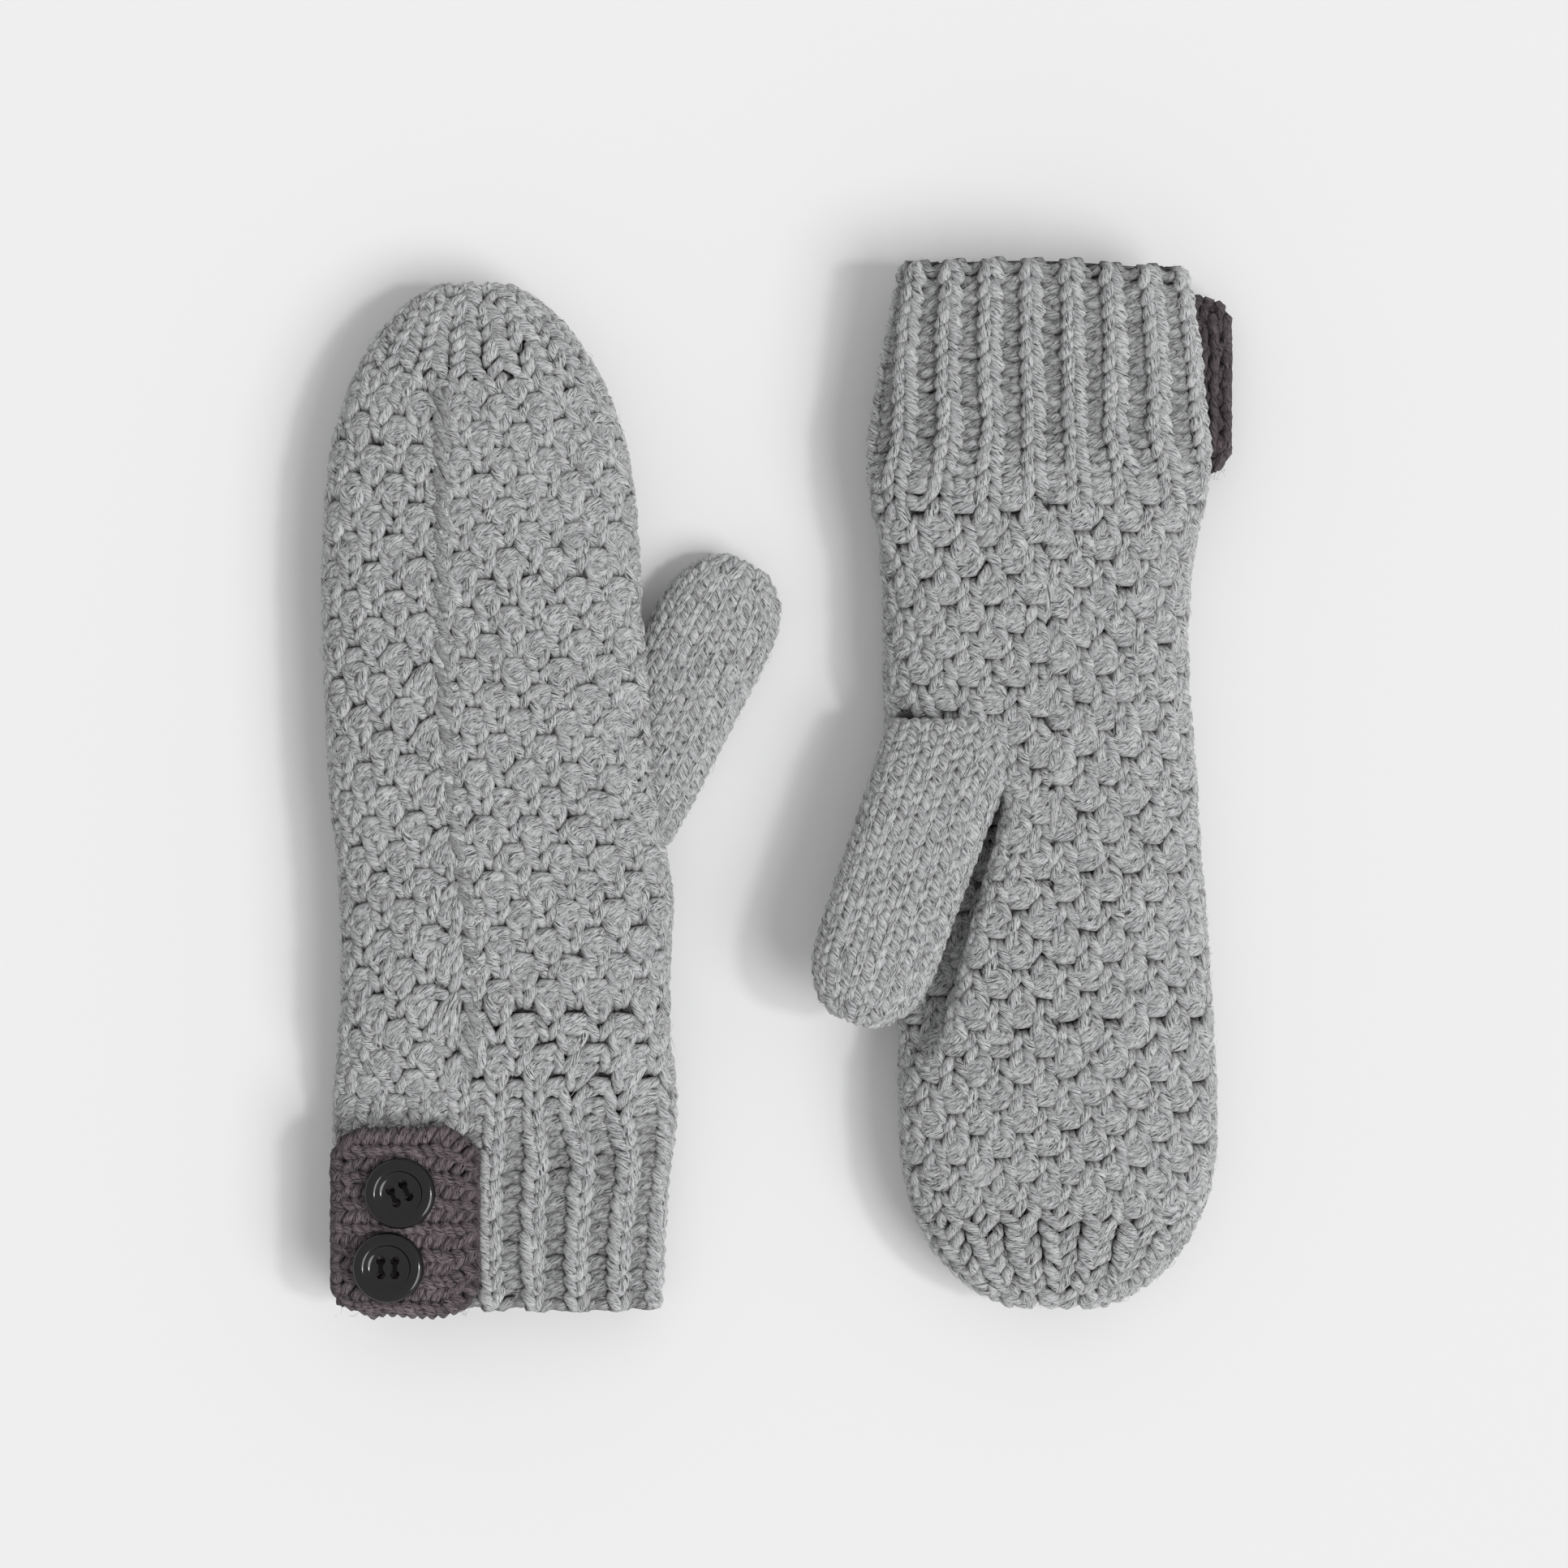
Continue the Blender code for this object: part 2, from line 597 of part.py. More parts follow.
def make_cuff(lay, mitten):
    stations = spread(0, lay.cuff_length - CLEARANCE, 6)
    pivot = wrist_pivot(lay)
    cuff = place(f"{lay.name}_cuff", loft("cuff", tube_rings(lay, stations)), mitten, YARN, pivot)
    hollow = [-HOLLOW_OVERRUN] + stations + [lay.cuff_length + HOLLOW_OVERRUN]
    cut(cuff, place(f"{lay.name}_cuff_hollow", loft("cuff_hollow", tube_rings(lay, hollow, FABRIC)), mitten))

    rows = []
    turns = [0, 22, 45, 67, 90]
    left_end = [TAB_CORNER * (1 - math.cos(math.radians(turn))) for turn in turns]
    across = left_end + spread(TAB_CORNER, TAB_WIDTH - TAB_CORNER, 5)[1:-1]
    across += [TAB_WIDTH - offset for offset in reversed(left_end)]
    for offset in across:
        into_corner = max(0.0, TAB_CORNER - min(offset, TAB_WIDTH - offset))
        trim = TAB_CORNER - math.sqrt(max(0.0, TAB_CORNER**2 - into_corner**2))
        u = lay.tab_edge * lay.width / 2 + offset
        level = tab_level(lay, u)
        low = lay.tab_start + trim - CLEARANCE
        high = lay.tab_start + TAB_HEIGHT - trim - CLEARANCE
        corners = [(low, level), (high, level), (high, level + TAB_THICKNESS), (low, level + TAB_THICKNESS)]
        rows.append([(lay.side * u, v, w) for v, w in corners])
    tab = place(f"{lay.name}_tab", loft("tab", rows), mitten, STRAP_YARN, pivot)

    base = CUFF_BACK_LEVEL + TAB_THICKNESS + 2 * CLEARANCE
    half_step = (BUTTON_DIAMETER + BUTTON_GAP) / 2
    lean = math.radians(BUTTON_LEAN)
    for which, order, turn in (("upper", 1, UPPER_BUTTON_TURN), ("lower", -1, 0.0)):
        u = lay.buttons * lay.width / 2 + order * half_step * math.sin(lean)
        v = lay.tab_start + TAB_HEIGHT / 2 - BUTTON_DROP + order * half_step * math.cos(lean)
        centre = (lay.side * u, v, base)
        for piece, mesh, recipe in (
            ("button", button_mesh, BUTTON_PLASTIC),
            ("button_thread", thread_mesh, SEWING_THREAD),
        ):
            sewn = place(f"{lay.name}_{which}_{piece}", mesh, mitten, recipe)
            sewn.location = centre
            sewn.rotation_euler = (0, 0, math.radians(turn) * lay.side)
        hole = cylinder("shank_hole", SHANK_RADIUS + CLEARANCE, CUFF_BACK_LEVEL - FABRIC - 0.003, base, 12)
        shank_hole = place(f"{lay.name}_{which}_shank_hole", hole, mitten)
        shank_hole.location = (lay.side * u, v, 0)
        cut(cuff, shank_hole)
        cut(tab, shank_hole)


def baked(body, name, scale=1.0):
    """The mesh of an object with its modifiers applied, then scaled; the object itself is removed."""
    graph = bpy.context.evaluated_depsgraph_get()
    bm = bmesh.new()
    bm.from_mesh(body.evaluated_get(graph).to_mesh())
    bmesh.ops.remove_doubles(bm, verts=bm.verts, dist=1e-6 / scale)
    bmesh.ops.scale(bm, vec=(scale, scale, scale), verts=bm.verts)
    bpy.data.objects.remove(body, do_unlink=True)
    return mesh_of(bm, name)


def hole_centres():
    half = BUTTON_HOLE_PITCH / 2
    return [(x, y) for x in (-half, half) for y in (-half, half)]


def make_button():
    """A turned button: a broad flat rim, a slope down to a flat middle, and a hollow underneath for the thread."""
    radius = BUTTON_DIAMETER / 2
    top = BUTTON_THICKNESS
    well = top - BUTTON_WELL_DEPTH
    slope_end = radius - BUTTON_RIM
    under = 0.0010
    profile = [
        (0, well),
        (BUTTON_WELL_RADIUS, well),
        (slope_end, top - 0.0002),
        (slope_end + 0.0004, top),
        (radius - 0.0006, top),
        (radius, top - 0.0006),
        (radius, 0.0009),
        (radius - 0.0012, 0),
        (BUTTON_WELL_RADIUS, 0),
        (BUTTON_WELL_RADIUS - 0.0003, under),
        (0, under),
    ]
    bm = bmesh.new()
    points = [bm.verts.new((x, 0, z)) for x, z in profile]
    for first, second in zip(points, points[1:]):
        bm.edges.new((first, second))
    mesh = bpy.data.meshes.new("button_profile")
    bm.to_mesh(mesh)
    bm.free()
    body = place("button_blank", mesh, None)
    turned = body.modifiers.new("turned", "SCREW")
    turned.angle = math.tau
    turned.steps = BUTTON_SEGMENTS
    turned.render_steps = BUTTON_SEGMENTS
    turned.use_merge_vertices = True
    turned.merge_threshold = 0.00001
    drills = []
    for x, y in hole_centres():
        drill = place("drill", cylinder("drill", BUTTON_HOLE_RADIUS, -0.001, top + 0.001, 8), None)
        drill.location = (x, y, 0)
        drills.append(drill)
        cut(body, drill)
    bpy.context.view_layer.update()
    mesh = baked(body, "button")
    for drill in drills:
        bpy.data.objects.remove(drill, do_unlink=True)
    return mesh


def make_thread():
    """The sewing thread: two stitches over the button, a wrap under it, a shank and a knot inside the cuff.

    It is joined at a thousand times its size, because its features are finer than a Boolean's tolerance.
    """
    mm = 1000
    half = BUTTON_HOLE_PITCH / 2 * mm
    strand = THREAD_RADIUS * mm
    crown = (BUTTON_THICKNESS - BUTTON_WELL_DEPTH + CLEARANCE) * mm + strand
    wrap_low, wrap_high = 0.05, 0.6
    knot_radius = KNOT_RADIUS * mm
    knot_height = knot_radius * 0.6
    knot_level = -(TAB_THICKNESS + FABRIC + KNOT_DROP) * mm - knot_height
    body = place("shank", cylinder("shank", SHANK_RADIUS * mm, knot_level, wrap_high - 0.1, 10), None)
    joined = [
        place("wrap", cylinder("wrap", WRAP_RADIUS * mm, wrap_low, wrap_high, 12), None),
        place("knot", ball("knot", (knot_radius, knot_radius, knot_height), (0, 0, knot_level)), None),
    ]
    foot = wrap_low + 0.2
    bend = 0.62
    for x in (-half, half):
        stitch = [(x, -half, foot), (x, -half, crown - bend), (x, -half + bend, crown)]
        stitch += [(x, half - bend, crown), (x, half, crown - bend), (x, half, foot)]
        joined.append(place("stitch", tube("stitch", stitch, strand), None))
    for piece in joined:
        cut(body, piece, "UNION")
    bpy.context.view_layer.update()
    mesh = baked(body, "button_thread", 1 / mm)
    for piece in joined:
        bpy.data.objects.remove(piece, do_unlink=True)
    return mesh


def make_mitten(lay, pair):
    mitten = bpy.data.objects.new(f"{lay.name}_mitten", None)
    parts.objects.link(mitten)
    mitten.parent = pair
    rest_height = BACK_LEVEL if lay.palm_up else -PALM_LEVEL
    mitten.location = (*lay.place, rest_height)
    mitten.rotation_euler = (math.pi if lay.palm_up else 0.0, 0, 0)
    bpy.context.view_layer.update()
    hand = make_hand(lay, mitten)
    pocket = make_finger_pocket(lay, mitten)
    make_seam(lay, mitten, hand, pocket)
    make_thumb(lay, mitten)
    make_cuff(lay, mitten)


pair_empty = bpy.data.objects.new("pair", None)
parts.objects.link(pair_empty)
button_mesh = make_button()
thread_mesh = make_thread()
for mitten_lay in (LEFT, RIGHT):
    make_mitten(mitten_lay, pair_empty)
bpy.context.view_layer.update()


def centre_pair():
    """Move the pair so that the middle of its footprint stands on the origin."""
    graph = bpy.context.evaluated_depsgraph_get()
    corners = []
    for body in parts.objects:
        if body.type == "MESH":
            done = body.evaluated_get(graph)
            corners += [body.matrix_world @ vertex.co for vertex in done.data.vertices]
    for axis in (0, 1):
        low = min(corner[axis] for corner in corners)
        high = max(corner[axis] for corner in corners)
        pair_empty.location[axis] = -(low + high) / 2
    pair_empty.location[2] = -min(corner[2] for corner in corners)


centre_pair()
bpy.context.view_layer.update()
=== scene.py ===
"""A pair of hand-knitted mittens on a pale table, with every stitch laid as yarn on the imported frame."""

import json
import math

import bmesh
import bpy
import numpy as np
from mathutils import Matrix, Vector
from mathutils.bvhtree import BVHTree


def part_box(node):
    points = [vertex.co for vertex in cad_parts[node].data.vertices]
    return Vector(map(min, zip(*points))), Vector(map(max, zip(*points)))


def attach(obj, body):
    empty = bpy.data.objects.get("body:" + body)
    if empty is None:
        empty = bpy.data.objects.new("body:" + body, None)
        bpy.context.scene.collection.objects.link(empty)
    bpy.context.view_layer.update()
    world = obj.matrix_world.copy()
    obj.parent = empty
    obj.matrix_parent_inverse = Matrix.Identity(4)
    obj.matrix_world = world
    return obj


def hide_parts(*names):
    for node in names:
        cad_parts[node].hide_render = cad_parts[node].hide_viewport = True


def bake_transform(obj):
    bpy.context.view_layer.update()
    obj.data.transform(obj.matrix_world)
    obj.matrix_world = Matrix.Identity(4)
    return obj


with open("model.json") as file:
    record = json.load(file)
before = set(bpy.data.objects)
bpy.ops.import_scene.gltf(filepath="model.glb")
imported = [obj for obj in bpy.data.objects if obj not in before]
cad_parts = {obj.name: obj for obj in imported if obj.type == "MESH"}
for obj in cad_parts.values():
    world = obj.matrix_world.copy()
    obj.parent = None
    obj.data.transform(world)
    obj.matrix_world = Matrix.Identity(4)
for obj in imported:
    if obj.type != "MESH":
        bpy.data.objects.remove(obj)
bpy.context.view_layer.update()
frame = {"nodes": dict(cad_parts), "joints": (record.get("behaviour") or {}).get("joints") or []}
scene = bpy.context.scene
mm = 0.001


# ----------------------------------------------------------------------------------------------------------
# The two hands the mittens are knitted for.
# Each mitten is worked in its own directions: u across towards the thumb, v from the cuff's edge to the
# finger tip, w out of the back of the hand. The right one is the left one mirrored, and lies palm up.

class Mitten:
    """Where one mitten lies, read from its solids."""

    def __init__(self, name, facing):
        self.name = name
        self.facing = facing
        cuff_low, cuff_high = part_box(f"{name}_cuff")
        hand_low, hand_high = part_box(f"{name}_hand")
        tip_low, tip_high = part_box(f"{name}_tip_gather")
        open_end = cuff_low[1] if facing > 0 else cuff_high[1]
        self.origin = np.array([(cuff_low[0] + cuff_high[0]) / 2, open_end, (hand_low[2] + hand_high[2]) / 2])
        self.cuff_length = cuff_high[1] - cuff_low[1]
        self.length = (tip_high[1] - cuff_low[1]) if facing > 0 else (cuff_high[1] - tip_low[1])
        self.tip_across = facing * ((tip_low[0] + tip_high[0]) / 2 - self.origin[0])

    def inward(self, points):
        """World points in this mitten's own directions."""
        return (np.asarray(points) - self.origin) * self.facing

    def outward(self, points):
        """This mitten's own points in the world."""
        return self.origin + np.asarray(points) * self.facing


left = Mitten("left", 1)
right = Mitten("right", -1)


# ----------------------------------------------------------------------------------------------------------
# Heather wool, a soft grey single of pale and dark fibres with a light twist.
# It is spun from fleece of two shades, so each strand shows both, and it fluffs up where it is handled.

class Paint:
    """A socket in a material, so that shader maths reads as plain expressions."""

    def __init__(self, tree, socket=None):
        self.tree = tree
        self.socket = socket

    def node(self, kind, settings=None, output=0, **sockets):
        """Any node: its type, its settings, and the values or links of its sockets by name or _number."""
        made = self.tree.nodes.new(kind)
        for name, value in (settings or {}).items():
            setattr(made, name, value)
        for name, value in sockets.items():
            place = made.inputs[int(name[1:]) if name[0] == "_" else name.replace("_", " ")]
            if isinstance(value, Paint):
                self.tree.links.new(value.socket, place)
            else:
                place.default_value = value
        return Paint(self.tree, made.outputs[output] if len(made.outputs) else None)

    def maths(self, operation, a, b=0.0):
        return self.node("ShaderNodeMath", {"operation": operation}, _0=a, _1=b)

    def __add__(self, other):
        return self.maths("ADD", self, other)

    def __sub__(self, other):
        return self.maths("SUBTRACT", self, other)

    def __rsub__(self, other):
        return self.maths("SUBTRACT", other, self)

    def __mul__(self, other):
        return self.maths("MULTIPLY", self, other)

    __radd__ = __add__
    __rmul__ = __mul__

    def sine(self):
        return self.maths("SINE", self)

    def cosine(self):
        return self.maths("COSINE", self)

    def ramp(self, low, high):
        """This value's run from low to high, as 0 to 1, eased at both ends."""
        return self.node(
            "ShaderNodeMapRange",
            {"interpolation_type": "SMOOTHSTEP"},
            Value=self,
            From_Min=low,
            From_Max=high,
        )

    def mix(self, a, b):
        """The colour a where this is 0 and b where it is 1."""
        return self.node("ShaderNodeMix", {"data_type": "RGBA"}, output=2, _0=self, _6=a, _7=b)

    def part(self, axis):
        """One part of this vector."""
        return self.node("ShaderNodeSeparateXYZ", output=axis, Vector=self)

    def noise(self, vector, scale, detail=2.0, roughness=0.5):
        return self.node(
            "ShaderNodeTexNoise", None, Vector=vector, Scale=scale, Detail=detail, Roughness=roughness
        )

    def vector(self, x, y, z):
        return self.node("ShaderNodeCombineXYZ", None, _0=x, _1=y, _2=z)


def new_material(name):
    made = bpy.data.materials.new(name)
    made.use_nodes = True
    made.node_tree.nodes.clear()
    return made, Paint(made.node_tree)


def finish_material(paint, **sockets):
    """End a material in a Principled shader with these sockets."""
    shader = paint.node("ShaderNodeBsdfPrincipled", None, **sockets)
    paint.node("ShaderNodeOutputMaterial", None, Surface=shader)


def wool(name, pale, middle, dark, dark_share, twist=0.9, sheen=0.35, shade=1.0):
    """Wool along a strand: its UV map says how far along, in strand widths, and how far round. Its low parts
    are darkened by their lift, as painted shade.
    """
    made, paint = new_material(name)
    place = paint.node("ShaderNodeUVMap", {"uv_map": "strand"})
    along, around = place.part(0), place.part(1)
    angle = around * math.tau + along * twist
    fibres = paint.vector(angle.cosine(), angle.sine(), along * 0.22)
    hairs = paint.noise(fibres, 5.5, 4.0, 0.62)
    tufts = paint.noise(fibres, 1.6, 2.0)
    runs = paint.noise(paint.vector(0.0, 0.0, along * 0.11), 1.0, 1.0)
    base = hairs.ramp(0.38, 0.56).mix(middle, pale)
    flecks = (hairs * 0.65 + tufts * 0.35).ramp(0.47 - dark_share, 0.40 - dark_share)
    coloured = flecks.mix(base, dark)
    shaded = (runs.ramp(0.3, 0.7) * 0.30).mix(coloured, (*[c * 0.72 for c in middle[:3]], 1))
    # Painted shade: points low on a strand, by their lift above the skin, are darkened towards a tenth of the
    # middle colour; shade sets how strongly.
    lift = paint.node("ShaderNodeAttribute", {"attribute_name": "lift"}, output=2)
    shaded = (lift.ramp(-0.1, 2.7) * shade + (1 - shade)).mix((*[c * 0.10 for c in middle[:3]], 1), shaded)
    bump = paint.node("ShaderNodeBump", None, Strength=0.75, Distance=0.0006, Height=hairs + tufts * 0.6)
    finish_material(
        paint,
        Base_Color=shaded,
        Roughness=0.92,
        Sheen_Weight=sheen,
        Sheen_Roughness=0.6,
        Normal=bump,
        Specular_IOR_Level=0.2,
    )
    return made


heather = wool("heather_wool", (0.70, 0.705, 0.71, 1), (0.20, 0.202, 0.21, 1), (0.03, 0.03, 0.034, 1), 0.0)


# ----------------------------------------------------------------------------------------------------------
# The hand: a tube knitted in the round in double moss stitch, one knit and one purl that change places every
# second round. The strands are laid loop by loop on a skin taken from the solids, so that loops interlock.

STRAND_RADIUS = 1.5 * mm
KNIT_SINK = 2.5 * mm
LOOP_DEPTH = 1.45 * mm
ROUND_HEIGHT = 3.55 * mm
WALES = 32
PLAIN_ROUNDS = 8
KNIT_EXCESS = 0.10
TIP_LENGTH = 75 * mm
THUMB_FOOT = (-28 * mm, 5 * mm)
WRIST_ROUNDS = 20
PALM_ROUNDS = 40


def solid_tree(mitten, nodes):
    """The surfaces of some nodes in a mitten's own directions, for finding where a ray meets them."""
    points = []
    faces = []
    for node in nodes:
        mesh = frame["nodes"][node].data
        start = len(points)
        points += [Vector(p) for p in mitten.inward([v.co for v in mesh.vertices])]
        faces += [[start + k for k in face.vertices] for face in mesh.polygons]
    return BVHTree.FromPolygons(points, faces)


def probe(tree, centres, across, out, flatness, count):
    """Where rays from outside towards each centre first meet the solids, as one ring of points a centre."""
    rings = np.zeros((len(centres), count, 3))
    reach = 0.15
    for i, centre in enumerate(centres):
        for k in range(count):
            angle = math.tau * k / count - math.pi / 2
            way = Vector(across * math.cos(angle) + out * math.sin(angle) * flatness).normalized()
            hit = tree.ray_cast(Vector(centre) + way * reach, -way)[0]
            rings[i, k] = hit if hit else rings[i - 1, k]
    return rings


def smoothed(rings, along_sigma, round_sigma):
    """The rings with their corners eased, by samples along the tube and round it."""
    reach = int(3 * max(along_sigma, round_sigma)) + 1
    offsets = np.arange(-reach, reach + 1)
    result = rings
    if along_sigma:
        weights = np.exp(-0.5 * (offsets / along_sigma) ** 2)
        last = len(rings) - 1
        rows = np.arange(last + 1)
        result = sum(w * result[np.clip(rows + o, 0, last)] for w, o in zip(weights / weights.sum(), offsets))
    if round_sigma:
        weights = np.exp(-0.5 * (offsets / round_sigma) ** 2)
        result = sum(w * np.roll(result, -o, axis=1) for w, o in zip(weights / weights.sum(), offsets))
    return result


def evened(rings, count):
    """The rings with their points spread evenly round the tube, so that each wale runs calmly along it."""
    closed = np.concatenate([rings, rings[:, :1]], axis=1)
    steps = np.linalg.norm(np.diff(closed, axis=1), axis=2)
    share = np.concatenate([np.zeros((len(rings), 1)), np.cumsum(steps, axis=1)], axis=1)
    share = smoothed(share / share[:, -1:], 14.0, 0)
    result = np.zeros((len(rings), count, 3))
    wanted = np.linspace(0, 1, count, endpoint=False)
    for i in range(len(rings)):
        for axis in range(3):
            result[i, :, axis] = np.interp(wanted, share[i], closed[i, :, axis])
    return result


def stepped(rings, count):
    """The rings read again so that each line along the tube is cut into equal steps."""
    steps = np.linalg.norm(np.diff(rings, axis=0), axis=2)
    length = np.vstack([np.zeros(rings.shape[1]), np.cumsum(steps, axis=0)])
    result = np.zeros((count, rings.shape[1], 3))
    for k in range(rings.shape[1]):
        wanted = np.linspace(0, length[-1, k], count)
        for axis in range(3):
            result[:, k, axis] = np.interp(wanted, length[:, k], rings[:, k, axis])
    return result


class Skin:
    """A smooth surface for stitches: t counts rounds along it and s runs once round it from 0 to 1."""

    def __init__(self, rings, first_round, last_round, closed=True):
        self.points = rings
        self.first = first_round
        self.last = last_round
        self.closed = closed
        self.drift = None
        along = np.gradient(rings, axis=0)
        if closed:
            around = np.roll(rings, -1, axis=1) - np.roll(rings, 1, axis=1)
        else:
            around = np.gradient(rings, axis=1)
        normals = np.cross(around, along)
        normals /= np.linalg.norm(normals, axis=2, keepdims=True) + 1e-12
        away = rings - rings.mean(axis=1, keepdims=True) if closed else np.array([0, 0, 1.0])
        self.normals = normals if (normals * away).sum() > 0 else -normals

    def read(self, s, t, height):
        """Points at s and t, a height above the surface."""
        rows, columns = self.points.shape[:2]
        if self.drift:
            t = t + self.drift(s % 1.0, t)
        y = np.clip((t - self.first) / (self.last - self.first), 0, 1) * (rows - 1)
        i = np.minimum(y.astype(int), rows - 2)
        fy = (y - i)[..., None]
        x = (s % 1.0) * columns if self.closed else np.clip(s, 0, 1) * (columns - 1)
        j = np.floor(x).astype(int)
        if self.closed:
            j, after = j % columns, (j + 1) % columns
        else:
            j = np.minimum(j, columns - 2)
            after = j + 1
        fx = (x - np.floor(x))[..., None] if self.closed else (x - j)[..., None]

        def between(grid):
            low = grid[i, j] * (1 - fx) + grid[i, after] * fx
            high = grid[i + 1, j] * (1 - fx) + grid[i + 1, after] * fx
            return low * (1 - fy) + high * fy

        return between(self.points) + between(self.normals) * height[..., None]

    def lay(self, s, t, height):
        """Points, the outward direction at each, and its height: a strand's line."""
        points = self.read(s, t, height)
        out = self.read(s, t, height + 1 * mm) - points
        return np.column_stack([points, out / mm, height])


# One loop, from the strand between stitches up one leg, over the head and down the other leg: across in
# stitch widths and along in rounds for a knit and for a purl, and how far forward by the faces of this
# stitch, of the stitch above it and of the one before it. Under a purl the head lies in front as a flat bar.
KNIT_ACROSS = np.array(
    [-0.5, -0.33, -0.11, -0.15, -0.31, -0.47, -0.36, 0, 0.36, 0.47, 0.31, 0.15, 0.11, 0.33]
)
PURL_ACROSS = np.array(
    [-0.5, -0.30, -0.06, -0.15, -0.27, -0.44, -0.38, 0, 0.38, 0.44, 0.27, 0.15, 0.06, 0.30]
)
LOOP_ALONG = np.array([0.16, 0.17, 0.34, 0.66, 1.02, 1.42, 1.70, 1.78, 1.70, 1.42, 1.02, 0.66, 0.34, 0.17])
PURL_ALONG = np.array([0.16, 0.20, 0.26, 0.60, 1.02, 1.42, 1.62, 1.70, 1.62, 1.42, 1.02, 0.60, 0.26, 0.20])
KNIT_FORWARD = np.array([-0.5, -0.9, 0.25, 1.1, 1.15, 0.6, 0, 0, 0, 0.6, 1.15, 1.1, 0.25, -0.9])
PURL_FORWARD = np.array([-0.5, -0.95, -0.85, 0.8, 1.0, 0.35, 0, 0, 0, 0.35, 1.0, 0.8, -0.85, -0.95])
BAR_ACROSS = np.array([0, 0, 0, 0, 0, -0.02, -0.12, -0.12, -0.12, -0.02, 0, 0, 0, 0])
BAR_ALONG = np.array([0, 0, 0, 0, 0, 0.20, 0.02, -0.05, 0.02, 0.20, 0, 0, 0, 0])
BAR_FORWARD = np.array([0, 0, 0, 0, 0, 0.50, 0, 0, 0, 0.50, 0, 0, 0, 0])
LOOP_BY_NEXT = np.array([0, 0, 0, 0, 0, 0.10, -0.80, -1.05, -0.80, 0.10, 0, 0, 0, 0])
LOOP_BY_NEIGHBOUR = np.array([-0.5, 0, 0, 0, 0, 0, 0, 0, 0, 0, 0, 0, 0, 0])


def laid_round(skin, t, centres, widths, faces, next_faces, rng, lifts=0.0, depth=LOOP_DEPTH, slack=1.0):
    """The strand of one round: its stitches' centres and widths are in shares of the way round."""
    count = len(centres)
    jitter = rng.normal(0, 1, (4, count))
    shape = np.where(np.asarray(faces)[:, None] > 0, KNIT_ACROSS[None, :], PURL_ACROSS[None, :])
    across = shape * (1 + 0.05 * jitter[0])[:, None] + 0.035 * slack * jitter[1][:, None]
    climb = np.where(np.asarray(faces)[:, None] > 0, LOOP_ALONG[None, :], PURL_ALONG[None, :])
    bar = (np.asarray(next_faces) < 0)[:, None]
    climb = climb + BAR_ALONG[None, :] * bar
    across = across * (1 + BAR_ACROSS[None, :] * bar)
    along = climb + 0.06 * slack * jitter[2][:, None]
    lean = 0.05 * slack * jitter[3][:, None] * np.sign(KNIT_ACROSS)[None, :]
    before = np.roll(faces, 1)
    by_face = np.where(np.asarray(faces)[:, None] > 0, KNIT_FORWARD[None, :], PURL_FORWARD[None, :])
    forward = (
        by_face * faces[:, None]
        + LOOP_BY_NEXT[None, :] * next_faces[:, None]
        + BAR_FORWARD[None, :] * bar
        + LOOP_BY_NEIGHBOUR[None, :] * before[:, None]
    )
    s = centres[:, None] + across * widths[:, None]
    height = forward * depth + np.broadcast_to(np.asarray(lifts), (count,))[:, None]
    return skin.lay(s.ravel(), (t + along + lean).ravel(), height.ravel())


def mesh_of_curve(curve):
    """The curve's surface as a mesh of the same name, and the curve removed."""
    name = curve.name
    holder = bpy.data.objects.new(name, curve)
    scene.collection.objects.link(holder)
    mesh = bpy.data.meshes.new_from_object(holder.evaluated_get(bpy.context.evaluated_depsgraph_get()))
    bpy.data.objects.remove(holder)
    bpy.data.curves.remove(curve)
    mesh.name = name
    return mesh


def placed(mesh):
    """A mesh as an object of the same name in the scene."""
    piece = bpy.data.objects.new(mesh.name, mesh)
    scene.collection.objects.link(piece)
    return piece


